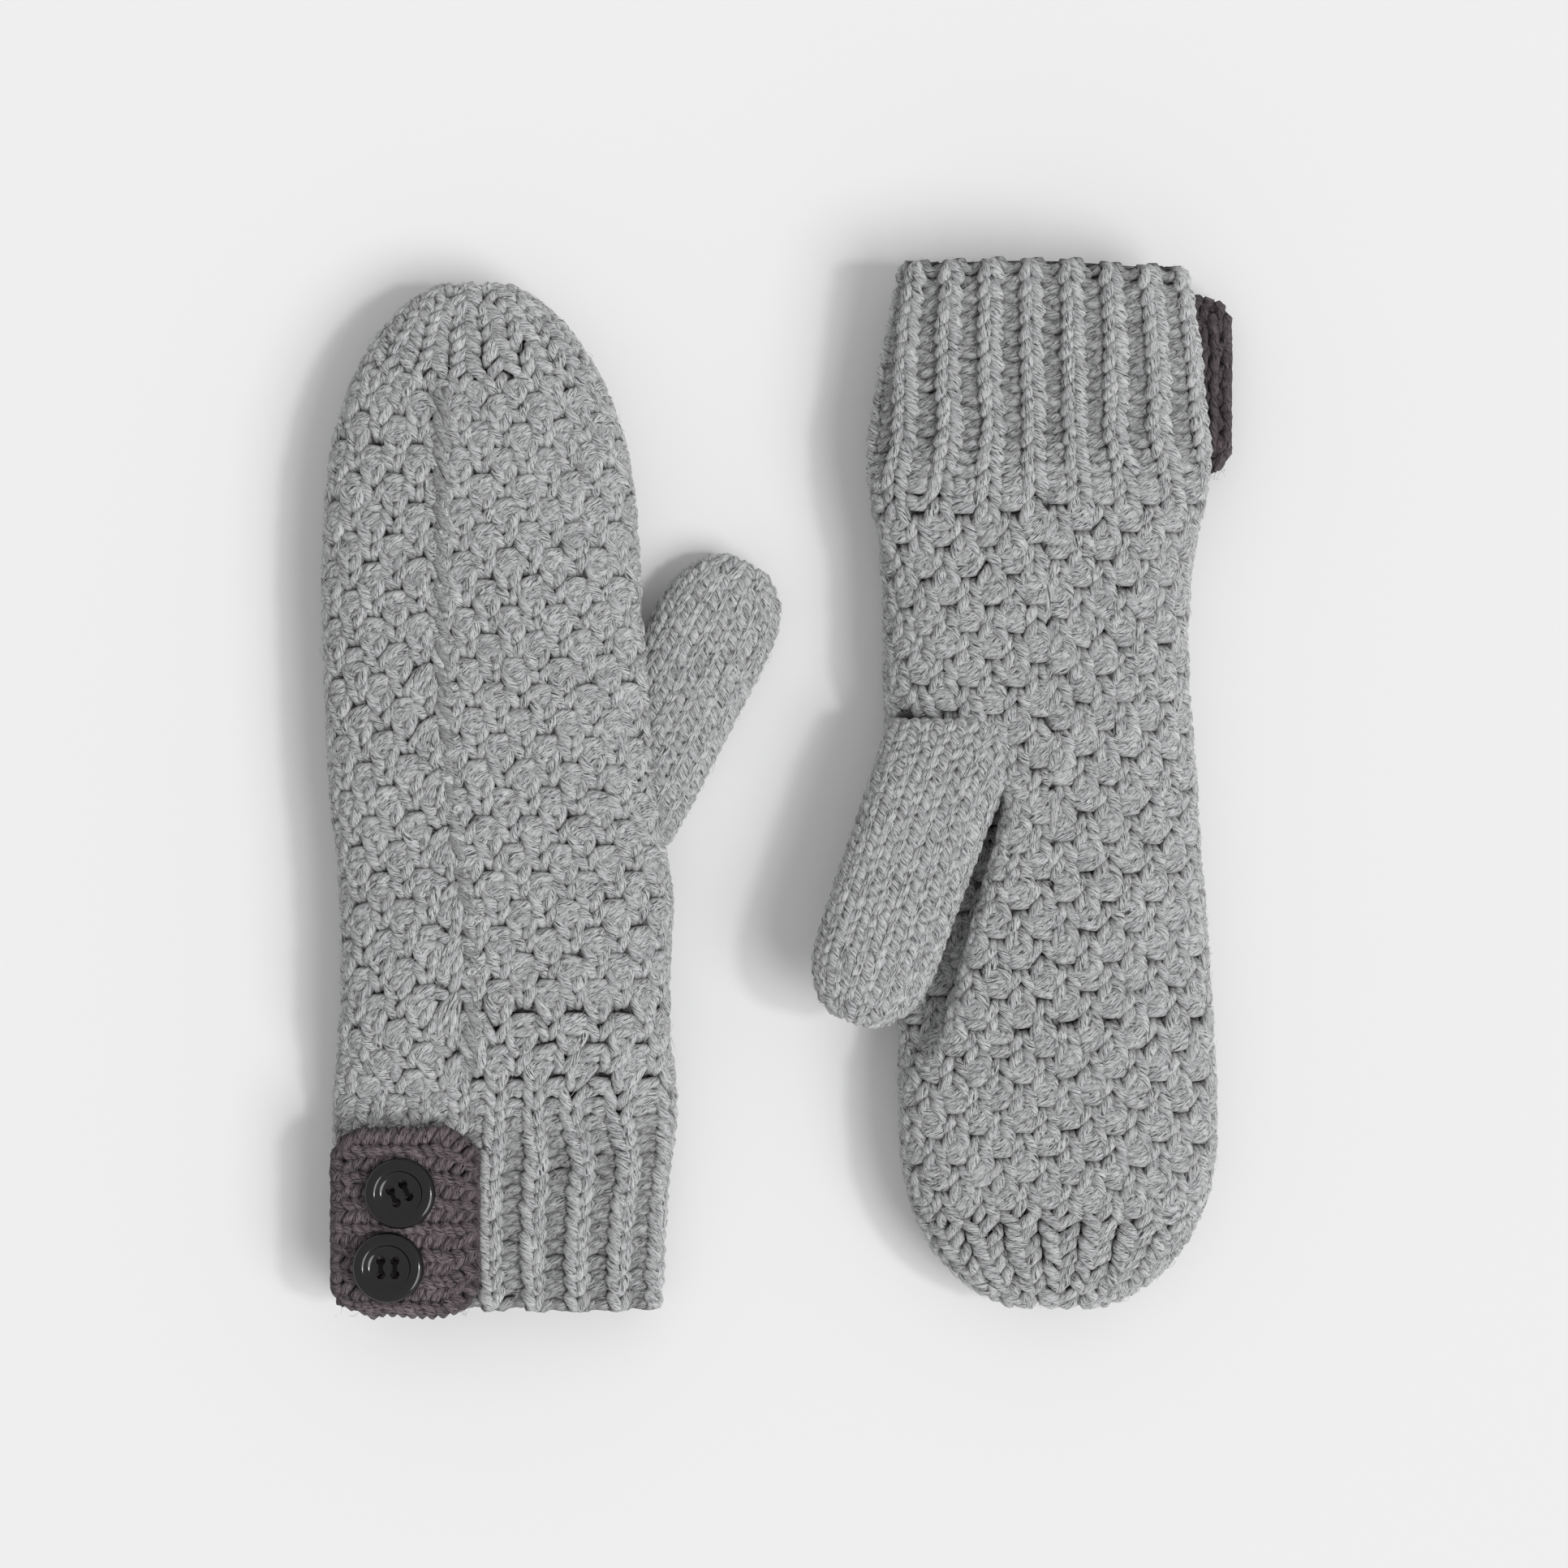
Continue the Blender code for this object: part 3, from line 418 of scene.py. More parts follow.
def strand_mesh(name, mitten, lines, radius, rng, closed=True, thick=0.07, sides=2):
    """One mesh of strands along lines of points, with a strand map for the wool, a lift that the wool darkens
    as painted shade, and a bake map in strips.
    """
    curve = bpy.data.curves.new(name, "CURVE")
    curve.dimensions = "3D"
    curve.bevel_depth = radius
    curve.bevel_resolution = sides
    lengths = []
    for line in lines:
        spline = curve.splines.new("POLY")
        spline.points.add(len(line) - 1)
        spline.use_cyclic_u = closed
        weighted = np.column_stack([mitten.outward(line[:, :3]), np.ones(len(line))])
        spline.points.foreach_set("co", weighted.ravel())
        waves = rng.normal(0, thick, len(line) // 5 + 2)
        swell = 1 + np.interp(np.arange(len(line)), np.arange(len(waves)) * 5, waves)
        if not closed:
            swell[[0, -1]] = 0.25
        spline.points.foreach_set("radius", swell)
        lengths.append(np.linalg.norm(np.diff(line[:, :3], axis=0), axis=1).sum())
    mesh = mesh_of_curve(curve)

    ring = 2 * sides + 4
    starts = np.cumsum([0] + [len(line) * ring for line in lines[:-1]])
    vertex = np.empty(len(mesh.loops), dtype=np.int32)
    mesh.loops.foreach_get("vertex_index", vertex)
    which = np.searchsorted(starts, vertex, side="right") - 1
    which = np.minimum(which, len(lines) - 1)
    uv = np.empty(len(mesh.loops) * 2)
    mesh.uv_layers[0].data.foreach_get("uv", uv)
    uv = uv.reshape(-1, 2)
    corners = np.array([v.co for v in mesh.vertices])
    # Each point's lift above its skin, which the wool reads for painted shade; lines without heights get 1.6
    # mm, a fixed share of that painted shade.
    lift = np.full(len(corners), 1.6 * mm)
    for line, start in zip(lines, starts):
        if line.shape[1] == 7:
            around = corners[start : start + len(line) * ring].reshape(len(line), ring, 3)
            away = around - mitten.outward(line[:, :3])[:, None]
            rise = (away * line[:, None, 3:6] * mitten.facing).sum(axis=2) + line[:, None, 6]
            lift[start : start + len(line) * ring] = rise.ravel()
    mesh.attributes.new("lift", "FLOAT", "POINT").data.foreach_set("value", lift / mm)
    strand = mesh.uv_layers.new(name="strand")
    far = (uv[:, 0] * np.array(lengths)[which] + which * 0.37) / radius
    strand.data.foreach_set("uv", np.column_stack([far, uv[:, 1]]).ravel())
    bake = mesh.uv_layers.new(name="OFBake")
    strip = (which + 0.02 + 0.96 * uv[:, 1]) / len(lines)
    bake.data.foreach_set("uv", np.column_stack([uv[:, 0], strip]).ravel())
    mesh.uv_layers.remove(mesh.uv_layers[0])
    mesh.shade_smooth()
    return placed(mesh)


def finished(piece, material, nodes=()):
    piece.data.materials.clear()
    piece.data.materials.append(material)
    if nodes:
        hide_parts(*nodes)
    return piece


def tube_skin(rings, distance, start, turn, height):
    """A skin over rings at these distances: even rounds from start to turn, then along the surface."""
    samples = 4
    body_rounds = round((turn - start) / height)
    step = (turn - start) / body_rounds / samples
    below = int((start - distance[0]) / step)
    wanted = turn - step * np.arange(body_rounds * samples + below, -1, -1)
    body = np.zeros((len(wanted), *rings.shape[1:]))
    for k in range(rings.shape[1]):
        for axis in range(3):
            body[:, k, axis] = np.interp(wanted, distance, rings[:, k, axis])
    tip = np.concatenate([body[-1:], rings[distance > turn + 0.3 * mm]])
    tip_rounds = round(np.linalg.norm(np.diff(tip, axis=0), axis=2).sum(axis=0).mean() / height)
    tip = stepped(tip, tip_rounds * samples + 1)
    grid = np.concatenate([body, tip[1:]])
    last = body_rounds + tip_rounds
    skin = Skin(grid, last - (len(grid) - 1) / samples, last)
    skin.points = skin.points - skin.normals * KNIT_SINK
    return skin


def thumb_axis(mitten):
    joint = next(j for j in frame["joints"] if j["name"] == f"{mitten.name}_thumb_swing")
    low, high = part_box(f"{mitten.name}_thumb_gather")
    root = mitten.inward(np.array(joint["pos_m"]))
    tip = mitten.inward((np.array(low) + np.array(high)) / 2)
    root[2] = tip[2]
    along = (tip - root) / np.linalg.norm(tip - root)
    return root, along


def hand_skin(mitten):
    """The skin of the cuff, hand and fingers, with rounds counted from the wrist: the cuff's are negative."""
    tree = solid_tree(mitten, [f"{mitten.name}_{part}" for part in ("cuff", "hand", "finger_pocket")])
    wrist = mitten.cuff_length
    turn = mitten.length - TIP_LENGTH
    end = mitten.length - 2.2 * mm
    stations = np.concatenate(
        [np.arange(0.6 * mm, turn, 1.0 * mm), turn + (end - turn) * np.sin(np.linspace(0, math.pi / 2, 90))]
    )
    low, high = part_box(f"{mitten.name}_cuff")
    cuff_middle = mitten.facing * ((low[2] + high[2]) / 2 - mitten.origin[2])
    in_cuff = np.clip((wrist + 12 * mm - stations) / (24 * mm), 0, 1)
    centres = np.column_stack([mitten.tip_across * stations / mitten.length, stations, cuff_middle * in_cuff])
    rings = probe(tree, centres, np.array([1.0, 0, 0]), np.array([0, 0, 1.0]), 0.4, 144)
    root = thumb_axis(mitten)[0]
    before, after = (np.abs(stations - root[1] - step).argmin() for step in THUMB_FOOT)
    share = np.linspace(0, 1, after - before + 1)[:, None, None]
    share = share * share * (3 - 2 * share)
    bridge = rings[before] * (1 - share) + rings[after] * share
    bridge[:, :, 1] = stations[before : after + 1, None]
    rings[before : after + 1] = bridge
    rings = evened(smoothed(rings, 3.0, 2.0), 256)
    return tube_skin(rings, stations, wrist, turn, ROUND_HEIGHT)


def moss_face(number, wales):
    """Double moss stitch: knit is 1 and purl is -1, and they change places every two rounds."""
    return 1.0 - 2.0 * ((number // 2 + wales) % 2)


def hand_rounds(skin, rng):
    """The strands of the hand from the wrist to the finger tip, where plain knit draws in to a point."""
    lines = []
    last = skin.last
    plain_from = last - PLAIN_ROUNDS
    for number in range(last):
        wales = np.arange(WALES if number < plain_from else WALES // 2 if number < last - 2 else WALES // 4)
        count = len(wales)
        faces = moss_face(number, wales) if number < plain_from else np.ones(count)
        next_faces = moss_face(number + 1, wales) if number + 1 < plain_from else np.ones(count)
        widths = (1 + KNIT_EXCESS * faces) / count
        lines.append(laid_round(skin, number, (wales + 0.5) / count, widths, faces, next_faces, rng))
    return lines


def bend_at_knuckles(piece):
    """Bake a piece's placement into its mesh."""
    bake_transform(piece)


def bend_at_wrist(piece):
    """Bake a piece's placement into its mesh."""
    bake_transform(piece)


def seam_path(mitten):
    """Points along the seam up the back of the hand, in the mitten's own directions."""
    points = np.concatenate(
        [mitten.inward([v.co for v in frame["nodes"][f"{mitten.name}_{n}"].data.vertices])
         for n in ("side_seam", "finger_seam")]
    )
    path = []
    for v in np.arange(points[:, 1].min() + 1 * mm, points[:, 1].max() - 1 * mm, 2.5 * mm):
        near = points[np.abs(points[:, 1] - v) < 7 * mm]
        path.append((near[:, 0].mean(), v, near[:, 2].max()))
    path = np.array(path)
    for axis in (0, 2):
        path[:, axis] = np.convolve(np.pad(path[:, axis], 2, mode="edge"), np.ones(5) / 5, mode="valid")
    return path


def seam_drift(mitten, skin):
    """The rounds climb from the little finger's side to the seam, and the fabric lies a little unevenly."""
    path = seam_path(mitten)
    palm = 100 * mm
    row = np.abs(skin.points[:, :, 1].mean(axis=1) - palm).argmin()
    ring = skin.points[row]
    seam_u = np.interp(palm, path[:, 1], path[:, 0])
    at = np.where(ring[:, 2] > 0, np.abs(ring[:, 0] - seam_u), 1.0).argmin() / len(ring)
    edge = ring[:, 0].argmin() / len(ring)
    climb = 2.1 if mitten is left else 0.7

    def drift(s, t):
        from_edge = (s - edge) / (at - edge)
        over = np.clip((s - at) * WALES / 1.2, 0, 1)
        back = np.clip(from_edge, 0, 1) - over * (s > at)
        strength = climb * np.clip(t / 7, 0, 1) * (1 - 0.75 * np.clip((t - 7) / 28, 0, 1))
        strength = strength * np.clip((skin.last - 12 - t) / 8, 0, 1)
        waves = 0.22 * np.sin(math.tau * s + t * 0.19) + 0.12 * np.sin(math.tau * 3 * s - t * 0.31)
        settled = np.clip(np.abs(t) / 3, 0, 1) * (t < skin.last - 3)
        return strength * (back - 0.5 * (s < at) * (s > edge)) + waves * settled

    return drift


def add_hand(mitten):
    rng = np.random.default_rng(11 if mitten is left else 12)
    name = mitten.name
    mitten.skin = hand_skin(mitten)
    mitten.skin.drift = seam_drift(mitten, mitten.skin)
    lines = hand_rounds(mitten.skin, rng)
    parts = (
        ("wrist_rounds", 0, WRIST_ROUNDS, "hand"),
        ("palm_rounds", WRIST_ROUNDS, PALM_ROUNDS, "hand"),
        ("finger_rounds", PALM_ROUNDS, len(lines), "finger_pocket"),
    )
    for part, start, stop, node in parts:
        piece = strand_mesh(f"{name}_{part}", mitten, lines[start:stop], STRAND_RADIUS, rng)
        finished(piece, heather, [f"{name}_{node}"])
        if part == "wrist_rounds":
            bend_at_wrist(piece)
        else:
            bend_at_knuckles(piece)


for mitten in (left, right):
    add_hand(mitten)


# ----------------------------------------------------------------------------------------------------------
# A dark sheet under the strands, painted shade: it closes the gaps in the fabric with the dark that shows
# between the loops.
# It shows only deep between the stitches, and inside the cuff.

shade_sheet, shade_sheet_paint = new_material("felted_wool")
shade_sheet_place = shade_sheet_paint.node("ShaderNodeTexCoord", output=3)
shade_sheet_hairs = shade_sheet_paint.noise(shade_sheet_place, 900.0, 3.0, 0.7)
finish_material(
    shade_sheet_paint,
    Base_Color=shade_sheet_hairs.ramp(0.35, 0.65).mix((0.04, 0.04, 0.043, 1), (0.14, 0.14, 0.145, 1)),
    Roughness=0.95,
    Normal=shade_sheet_paint.node("ShaderNodeBump", None, Strength=0.8, Distance=0.001, Height=shade_sheet_hairs),
)
SHADE_SHEET_DEPTH = 0.9 * mm
SHADE_SHEET_JOIN = 21


def shade_sheet_layer(name, mitten, skin, low, high, depth, material, across=96):
    """A thin layer under the strands of a skin, from round low to round high, which carries the painted shade
    seen between them.
    """
    rows = max(int((high - low) * 1.5), 2)
    sheet = bmesh.new()
    bmesh.ops.create_grid(sheet, x_segments=across, y_segments=rows, size=0.5, calc_uvs=True)
    places = np.array([v.co for v in sheet.verts]) + 0.5
    wanted = skin.read(places[:, 0], low + places[:, 1] * (high - low), np.full(len(places), -depth))
    for vertex, point in zip(sheet.verts, mitten.outward(wanted)):
        vertex.co = point
    if skin.closed:
        bmesh.ops.remove_doubles(sheet, verts=sheet.verts, dist=0.00002)
    bmesh.ops.recalc_face_normals(sheet, faces=sheet.faces)
    mesh = bpy.data.meshes.new(name)
    sheet.to_mesh(mesh)
    sheet.free()
    mesh.shade_smooth()
    return finished(placed(mesh), material)


for mitten in (left, right):
    name = mitten.name
    skin = mitten.skin
    first, last = skin.first + 0.35, skin.last
    lower = shade_sheet_layer(f"{name}_cuff_felt", mitten, skin, first, SHADE_SHEET_JOIN, SHADE_SHEET_DEPTH, shade_sheet)
    bend_at_wrist(lower)
    upper = shade_sheet_layer(f"{name}_hand_felt", mitten, skin, SHADE_SHEET_JOIN - 1, last, SHADE_SHEET_DEPTH, shade_sheet)
    bend_at_knuckles(upper)


# ----------------------------------------------------------------------------------------------------------
# The cuff: rib of one knit and one purl, which draws in and stands in soft ridges.
# It starts from a twisted cast-on edge tucked behind the ribs' ends, and runs up into the hand at the wrist.

RIB_PINCH = 0.16
RIB_LIFT = 0.70 * mm
FURROW_LIFT = -1.0 * mm


def cast_on(skin, t, count, rng):
    """Two strands twisted round the open edge, just inside the ribs' ends."""
    lines = []
    s = np.linspace(0, 1, count * 14, endpoint=False)
    ribs = np.cos(math.tau * (s * count / 2 - 0.25))
    for side in (0, 0.5):
        turn = math.tau * (s * count + side) + rng.normal(0, 0.12, len(s))
        height = 0.45 * mm * np.sin(turn) + 0.5 * mm * ribs - 2.0 * mm
        line = skin.lay(s, t + 0.40 + 0.22 * np.cos(turn) - 0.20 * ribs, height)
        # The lift is raised 1.2 mm only so that the wool's painted shade darkens this edge less.
        line[:, 6] += 1.2 * mm
        lines.append(line)
    return lines


def add_cuff(mitten):
    rng = np.random.default_rng(21 if mitten is left else 22)
    skin = mitten.skin
    first = -int(-skin.first)
    ribs = np.arange(WALES)
    knit = ribs % 2 == 0
    lines = cast_on(skin, first + 0.1, WALES, rng)
    for number in range(first, 0):
        strength = min(-number / 3.0, 1.0)
        centres = (ribs + 0.5) / WALES
        widths = np.where(knit, 1 - RIB_PINCH * strength, 1 + RIB_PINCH * strength) / WALES
        faces = np.where(knit, 1.0, -1.0)
        upper = faces if number < -1 else moss_face(0, ribs)
        lifts = np.where(knit, RIB_LIFT, FURROW_LIFT) * strength
        start = number if number > first else number + np.where(knit, -0.38, 0.12)[:, None]
        lines.append(laid_round(skin, start, centres, widths, faces, upper, rng, lifts))
    piece = strand_mesh(f"{mitten.name}_cuff_rounds", mitten, lines, STRAND_RADIUS, rng)
    finished(piece, heather, [f"{mitten.name}_cuff"])
    bend_at_wrist(piece)


for mitten in (left, right):
    add_cuff(mitten)


# ----------------------------------------------------------------------------------------------------------
# The thumb: plain knit stitches in the round, worked from loops picked up at the side of the hand.
# The last rounds halve the stitches, and the strand is drawn through what is left.

THUMB_WALES = 16
THUMB_ROUND = 3.35 * mm
GUSSET_START = -20 * mm
GUSSET_SHIFT = np.array([-3.4 * mm, 0, 3.8 * mm])


def thumb_skin(mitten):
    """The thumb's skin, carried on below its root so that it flares and sinks into the palm."""
    node = f"{mitten.name}_thumb"
    root, along = thumb_axis(mitten)
    points = mitten.inward([v.co for v in frame["nodes"][node].data.vertices])
    reach = (points - root) @ along
    across, up = np.array([along[1], -along[0], 0]), np.array([0, 0, 1.0])
    start, end = 7 * mm, reach.max() - 1.4 * mm
    turn = end - 15 * mm
    stations = np.concatenate(
        [np.arange(start, turn, 0.8 * mm), turn + (end - turn) * np.sin(np.linspace(0, math.pi / 2, 40))]
    )
    rings = probe(solid_tree(mitten, [node]), root + stations[:, None] * along, across, up, 0.6, 96)
    centre = root + start * along
    shape = (rings[0] - centre) @ np.column_stack([across, up])
    gusset = []
    lower = np.arange(GUSSET_START, start, 0.8 * mm)
    for station in lower:
        share = (station - lower[0]) / (start - lower[0])
        way = along * share + np.array([0, 1.0, 0]) * (1 - share)
        way /= np.linalg.norm(way)
        side = np.array([way[1], -way[0], 0])
        width = 1 + 0.32 * (1 - share) ** 2
        rise = GUSSET_SHIFT * (1 - share) ** 2
        gusset.append(root + station * along + shape[:, :1] * side * width + shape[:, 1:] * up + rise)
    rings = np.concatenate([gusset, rings])
    stations = np.concatenate([lower, stations])
    rings = evened(smoothed(rings, 2.0, 1.5), 128)
    return tube_skin(rings, stations, stations[0] + 0.2 * mm, turn, THUMB_ROUND)


def bend_at_thumb(piece, mitten):
    """Bake a piece's placement into its mesh; the two points found on the thumb's axis are not used."""
    root, along = thumb_axis(mitten)
    start, end = (mitten.outward(root + along * step * mm) for step in (-13, 11))
    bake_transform(piece)


def add_thumb(mitten):
    rng = np.random.default_rng(31 if mitten is left else 32)
    name = mitten.name
    skin = thumb_skin(mitten)
    mitten.thumb_skin = skin
    lines = []
    for number in range(skin.last):
        count = THUMB_WALES if number < skin.last - 2 else THUMB_WALES // 2
        wales = np.arange(count)
        faces = np.ones(count)
        widths = np.full(count, 1 / count)
        lines.append(laid_round(skin, number, (wales + 0.5) / count, widths, faces, faces, rng, slack=0.5))
    piece = strand_mesh(f"{name}_thumb_rounds", mitten, lines, 1.45 * mm, rng)
    finished(piece, heather, [f"{name}_thumb"])
    bend_at_thumb(piece, mitten)
    # A dark sheet of painted shade under the thumb's strands.
    under = shade_sheet_layer(f"{name}_thumb_felt", mitten, skin, 0.6, skin.last, 0.8 * mm, shade_sheet, 48)
    bend_at_thumb(under, mitten)


for mitten in (left, right):
    add_thumb(mitten)


# ----------------------------------------------------------------------------------------------------------
# The seam up the back of the hand, and the joins.
# It is sewn edge to edge with the same wool, so it stands as a ridge of slanting stitches.

def rope(path, ways, radius, pitch, start=0.0):
    """Points of one strand winding round a path, whose side and outward directions are the two ways."""
    steps = np.linalg.norm(np.diff(path, axis=0), axis=1)
    length = np.concatenate([[0], np.cumsum(steps)])
    wanted = np.arange(0, length[-1], pitch / 12)
    middle = np.column_stack([np.interp(wanted, length, path[:, axis]) for axis in range(3)])
    side, out = ([np.interp(wanted, length, way[:, axis]) for axis in range(3)] for way in ways)
    side, out = np.array(side).T, np.array(out).T
    turn = (math.tau * wanted / pitch + start)[:, None]
    return middle + radius * (side * np.cos(turn) + out * np.sin(turn) * 0.7)


def add_seam(mitten):
    rng = np.random.default_rng(41 if mitten is left else 42)
    path = seam_path(mitten)
    path[:, 2] -= 1.0 * mm
    side = np.tile([1.0, 0.15, 0], (len(path), 1))
    out = np.tile([0, 0, 1.0], (len(path), 1))
    lines = [rope(path, (side, out), 1.15 * mm, 14 * mm, start) for start in (0, math.pi)]
    piece = strand_mesh(f"{mitten.name}_back_seam", mitten, lines, 1.3 * mm, rng, closed=False)
    finished(piece, heather, [f"{mitten.name}_side_seam", f"{mitten.name}_finger_seam"])
    bend_at_knuckles(piece)


def add_gather(mitten, node, skin, body):
    """The strand drawn through the last stitches, wound into a small closed ring and darned in."""
    rng = np.random.default_rng(len(node))
    turns = np.linspace(0, 1, 44)
    radius = np.interp(turns, [0, 0.75, 1], [3.4, 2.1, 0.6]) * mm
    pole = skin.points[-1].mean(axis=0)
    below = skin.points[-8].mean(axis=0)
    along = (pole - below) / np.linalg.norm(pole - below)
    side = np.cross(along, [0, 0, 1.0])
    angle = turns * math.tau * 1.8
    points = pole + along * (turns * 1.6 * mm - 0.6 * mm)[:, None]
    points = points + radius[:, None] * (np.cos(angle)[:, None] * side + np.sin(angle)[:, None] * [0, 0, 0.8])
    piece = strand_mesh(f"{node}_end", mitten, [points], 1.05 * mm, rng, closed=False)
    finished(piece, heather, [node])
    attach(piece, body)


def add_join(mitten):
    """A row of picked-up loops along the foot of the thumb, on the palm."""
    rng = np.random.default_rng(61)
    skin = mitten.thumb_skin
    s_along = np.linspace(-0.24, 0.27, 110)
    lines = []
    for start in (0, math.pi):
        turn = math.tau * s_along * THUMB_WALES + start
        t = 0.55 + 0.30 * np.cos(turn)
        line = skin.lay(s_along % 1.0, t, (0.6 * np.sin(turn) + 0.9) * mm)
        # The lift is raised 1.1 mm only so that the wool's painted shade darkens the picked-up loops less.
        line[:, 6] += 1.1 * mm
        lines.append(line)
    piece = strand_mesh(f"{mitten.name}_thumb_pick_up", mitten, lines, 1.2 * mm, rng, closed=False)
    finished(piece, heather, [f"{mitten.name}_thumb_join"])
    bend_at_thumb(piece, mitten)


for mitten in (left, right):
    add_seam(mitten)
    add_gather(mitten, f"{mitten.name}_tip_gather", mitten.skin, f"{mitten.name}_fingers")
    add_gather(mitten, f"{mitten.name}_thumb_gather", mitten.thumb_skin, f"{mitten.name}_thumb")
    add_join(mitten)


# ----------------------------------------------------------------------------------------------------------
# The strap on the cuff: a charcoal patch knitted sideways in plain stitches, with softly rounded corners and
# a twisted cord along its outer edge. It is sewn down round its edge and bends over the ribs beneath.

# The charcoal's painted shade in the low parts of its strands is set to half strength.
charcoal = wool(
    "charcoal_wool",
    (0.32, 0.265, 0.285, 1),
    (0.024, 0.019, 0.0215, 1),
    (0.004, 0.003, 0.004, 1),
    0.03,
    sheen=0.05,
    shade=0.5,
)
STRAP_WALES = 7
STRAP_COURSES = 14


def strap_skin(mitten):
    node = f"{mitten.name}_tab"
    tree = solid_tree(mitten, [node])
    points = mitten.inward([v.co for v in frame["nodes"][node].data.vertices])
    low, high = points.min(axis=0), points.max(axis=0)
    across = np.linspace(low[0] + 0.8 * mm, high[0] - 0.8 * mm, 40)
    along = np.linspace(low[1] + 0.8 * mm, high[1] - 0.8 * mm, 40)
    grid = np.zeros((40, 40, 3))
    for i, u in enumerate(across):
        for k, v in enumerate(along):
            inner_u = min(max(u, low[0] + 3 * mm), high[0] - 3 * mm)
            inner_v = min(max(v, low[1] + 3 * mm), high[1] - 3 * mm)
            hit = tree.ray_cast(Vector((inner_u, inner_v, 0.06)), Vector((0, 0, -1)))[0]
            grid[i, k] = (u, v, hit[2] if hit else high[2])
    grid[:, :, 2] = smoothed(grid, 1.5, 0)[:, :, 2]
    return Skin(grid, 0, STRAP_COURSES, closed=False)


def add_strap(mitten):
    rng = np.random.default_rng(51 if mitten is left else 52)
    skin = strap_skin(mitten)
    mitten.strap_skin = skin
    wales = np.arange(STRAP_WALES)
    lines = []
    for course in range(STRAP_COURSES):
        from_edge = min(course + 0.35, STRAP_COURSES - 1 - course + 0.35)
        inset = 0.18 * (1 - math.sqrt(max(1 - (1 - min(from_edge / 3.6, 1)) ** 2, 0)))
        centres = 0.5 + ((wales + 0.5) / STRAP_WALES - 0.5) * (1 - 2 * inset - 0.03)
        widths = np.full(STRAP_WALES, (1 - 2 * inset) / STRAP_WALES)
        faces = np.ones(STRAP_WALES)
        drop = -(0.9 + 0.9 * math.exp(-from_edge)) * mm
        line = laid_round(skin, course - 0.55, centres, widths, faces, faces, rng, drop, 1.1 * mm)
        places = ((centres[0] - widths[0] * 0.50, 0.0), (centres[-1] + widths[0] * 0.62, 0.1))
        ends = [
            skin.lay(np.array([s]), np.array([course + t]), np.array([-3.2 * mm])) for s, t in places
        ]
        lines.append(np.concatenate([ends[0], line[1:], ends[1]]))
    s = np.linspace(0.06, 0.94, 240)
    corner = np.clip(1 - np.minimum(s, 1 - s) / 0.24, 0, 1)
    for start in (0, math.pi):
        turn = math.tau * s * STRAP_WALES + start
        t = 4.0 * (1 - np.sqrt(1 - corner**2)) - 0.05 + 0.28 * np.cos(turn)
        lines.append(skin.lay(s, t, (0.6 * np.sin(turn) - 1.6) * mm))
    piece = strand_mesh(f"{mitten.name}_strap_courses", mitten, lines, 1.4 * mm, rng, closed=False)
    finished(piece, charcoal, [f"{mitten.name}_tab"])
    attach(piece, f"{mitten.name}_cuff")


for mitten in (left, right):
    add_strap(mitten)


# ----------------------------------------------------------------------------------------------------------
# The buttons: black four-hole coat buttons, turned and polished, with a flat rim round a dished middle.
# Each is sewn on with doubled black thread through its holes, and stands on a wound shank.

plastic, plastic_paint = new_material("polished_black_plastic")
plastic_place = plastic_paint.node("ShaderNodeTexCoord", output=3)
plastic_clouds = plastic_paint.noise(plastic_place, 260.0, 3.0)
finish_material(
    plastic_paint,
    Base_Color=plastic_clouds.mix((0.006, 0.0055, 0.006, 1), (0.011, 0.010, 0.011, 1)),
    Roughness=plastic_clouds.ramp(0.3, 0.7) * 0.06 + 0.08,
    Normal=plastic_paint.node("ShaderNodeBump", None, Strength=0.06, Distance=0.0002, Height=plastic_clouds),
)
sewing = wool(
    "sewing_thread",
    (0.014, 0.013, 0.014, 1),
    (0.008, 0.008, 0.008, 1),
    (0.004, 0.004, 0.004, 1),
    0.02,
    twist=1.6,
    sheen=0.0,
)

WELL_LEVEL = 2.98
UNDERSIDE = [(0, 0.2), (7.2, 0.0), (8.3, 0.25), (8.85, 0.9)]
EDGE = [(9.0, 1.9), (8.95, 3.1), (8.7, 3.8), (8.2, 4.25)]
RIM = [(7.6, 4.4), (6.6, 4.38), (6.1, 4.25), (5.75, 3.9)]
WELL = [(5.2, 3.35), (4.6, 3.05), (4.1, WELL_LEVEL), (0, WELL_LEVEL)]
BUTTON_PROFILE = UNDERSIDE + EDGE + RIM + WELL
HOLE_PITCH = 3.5 * mm
HOLE_RADIUS = 1.15 * mm


def in_mesh(name, make):
    """A mesh filled by one call on an empty bmesh."""
    shape = bmesh.new()
    make(shape)
    mesh = bpy.data.meshes.new(name)
    shape.to_mesh(mesh)
    shape.free()
    return mesh


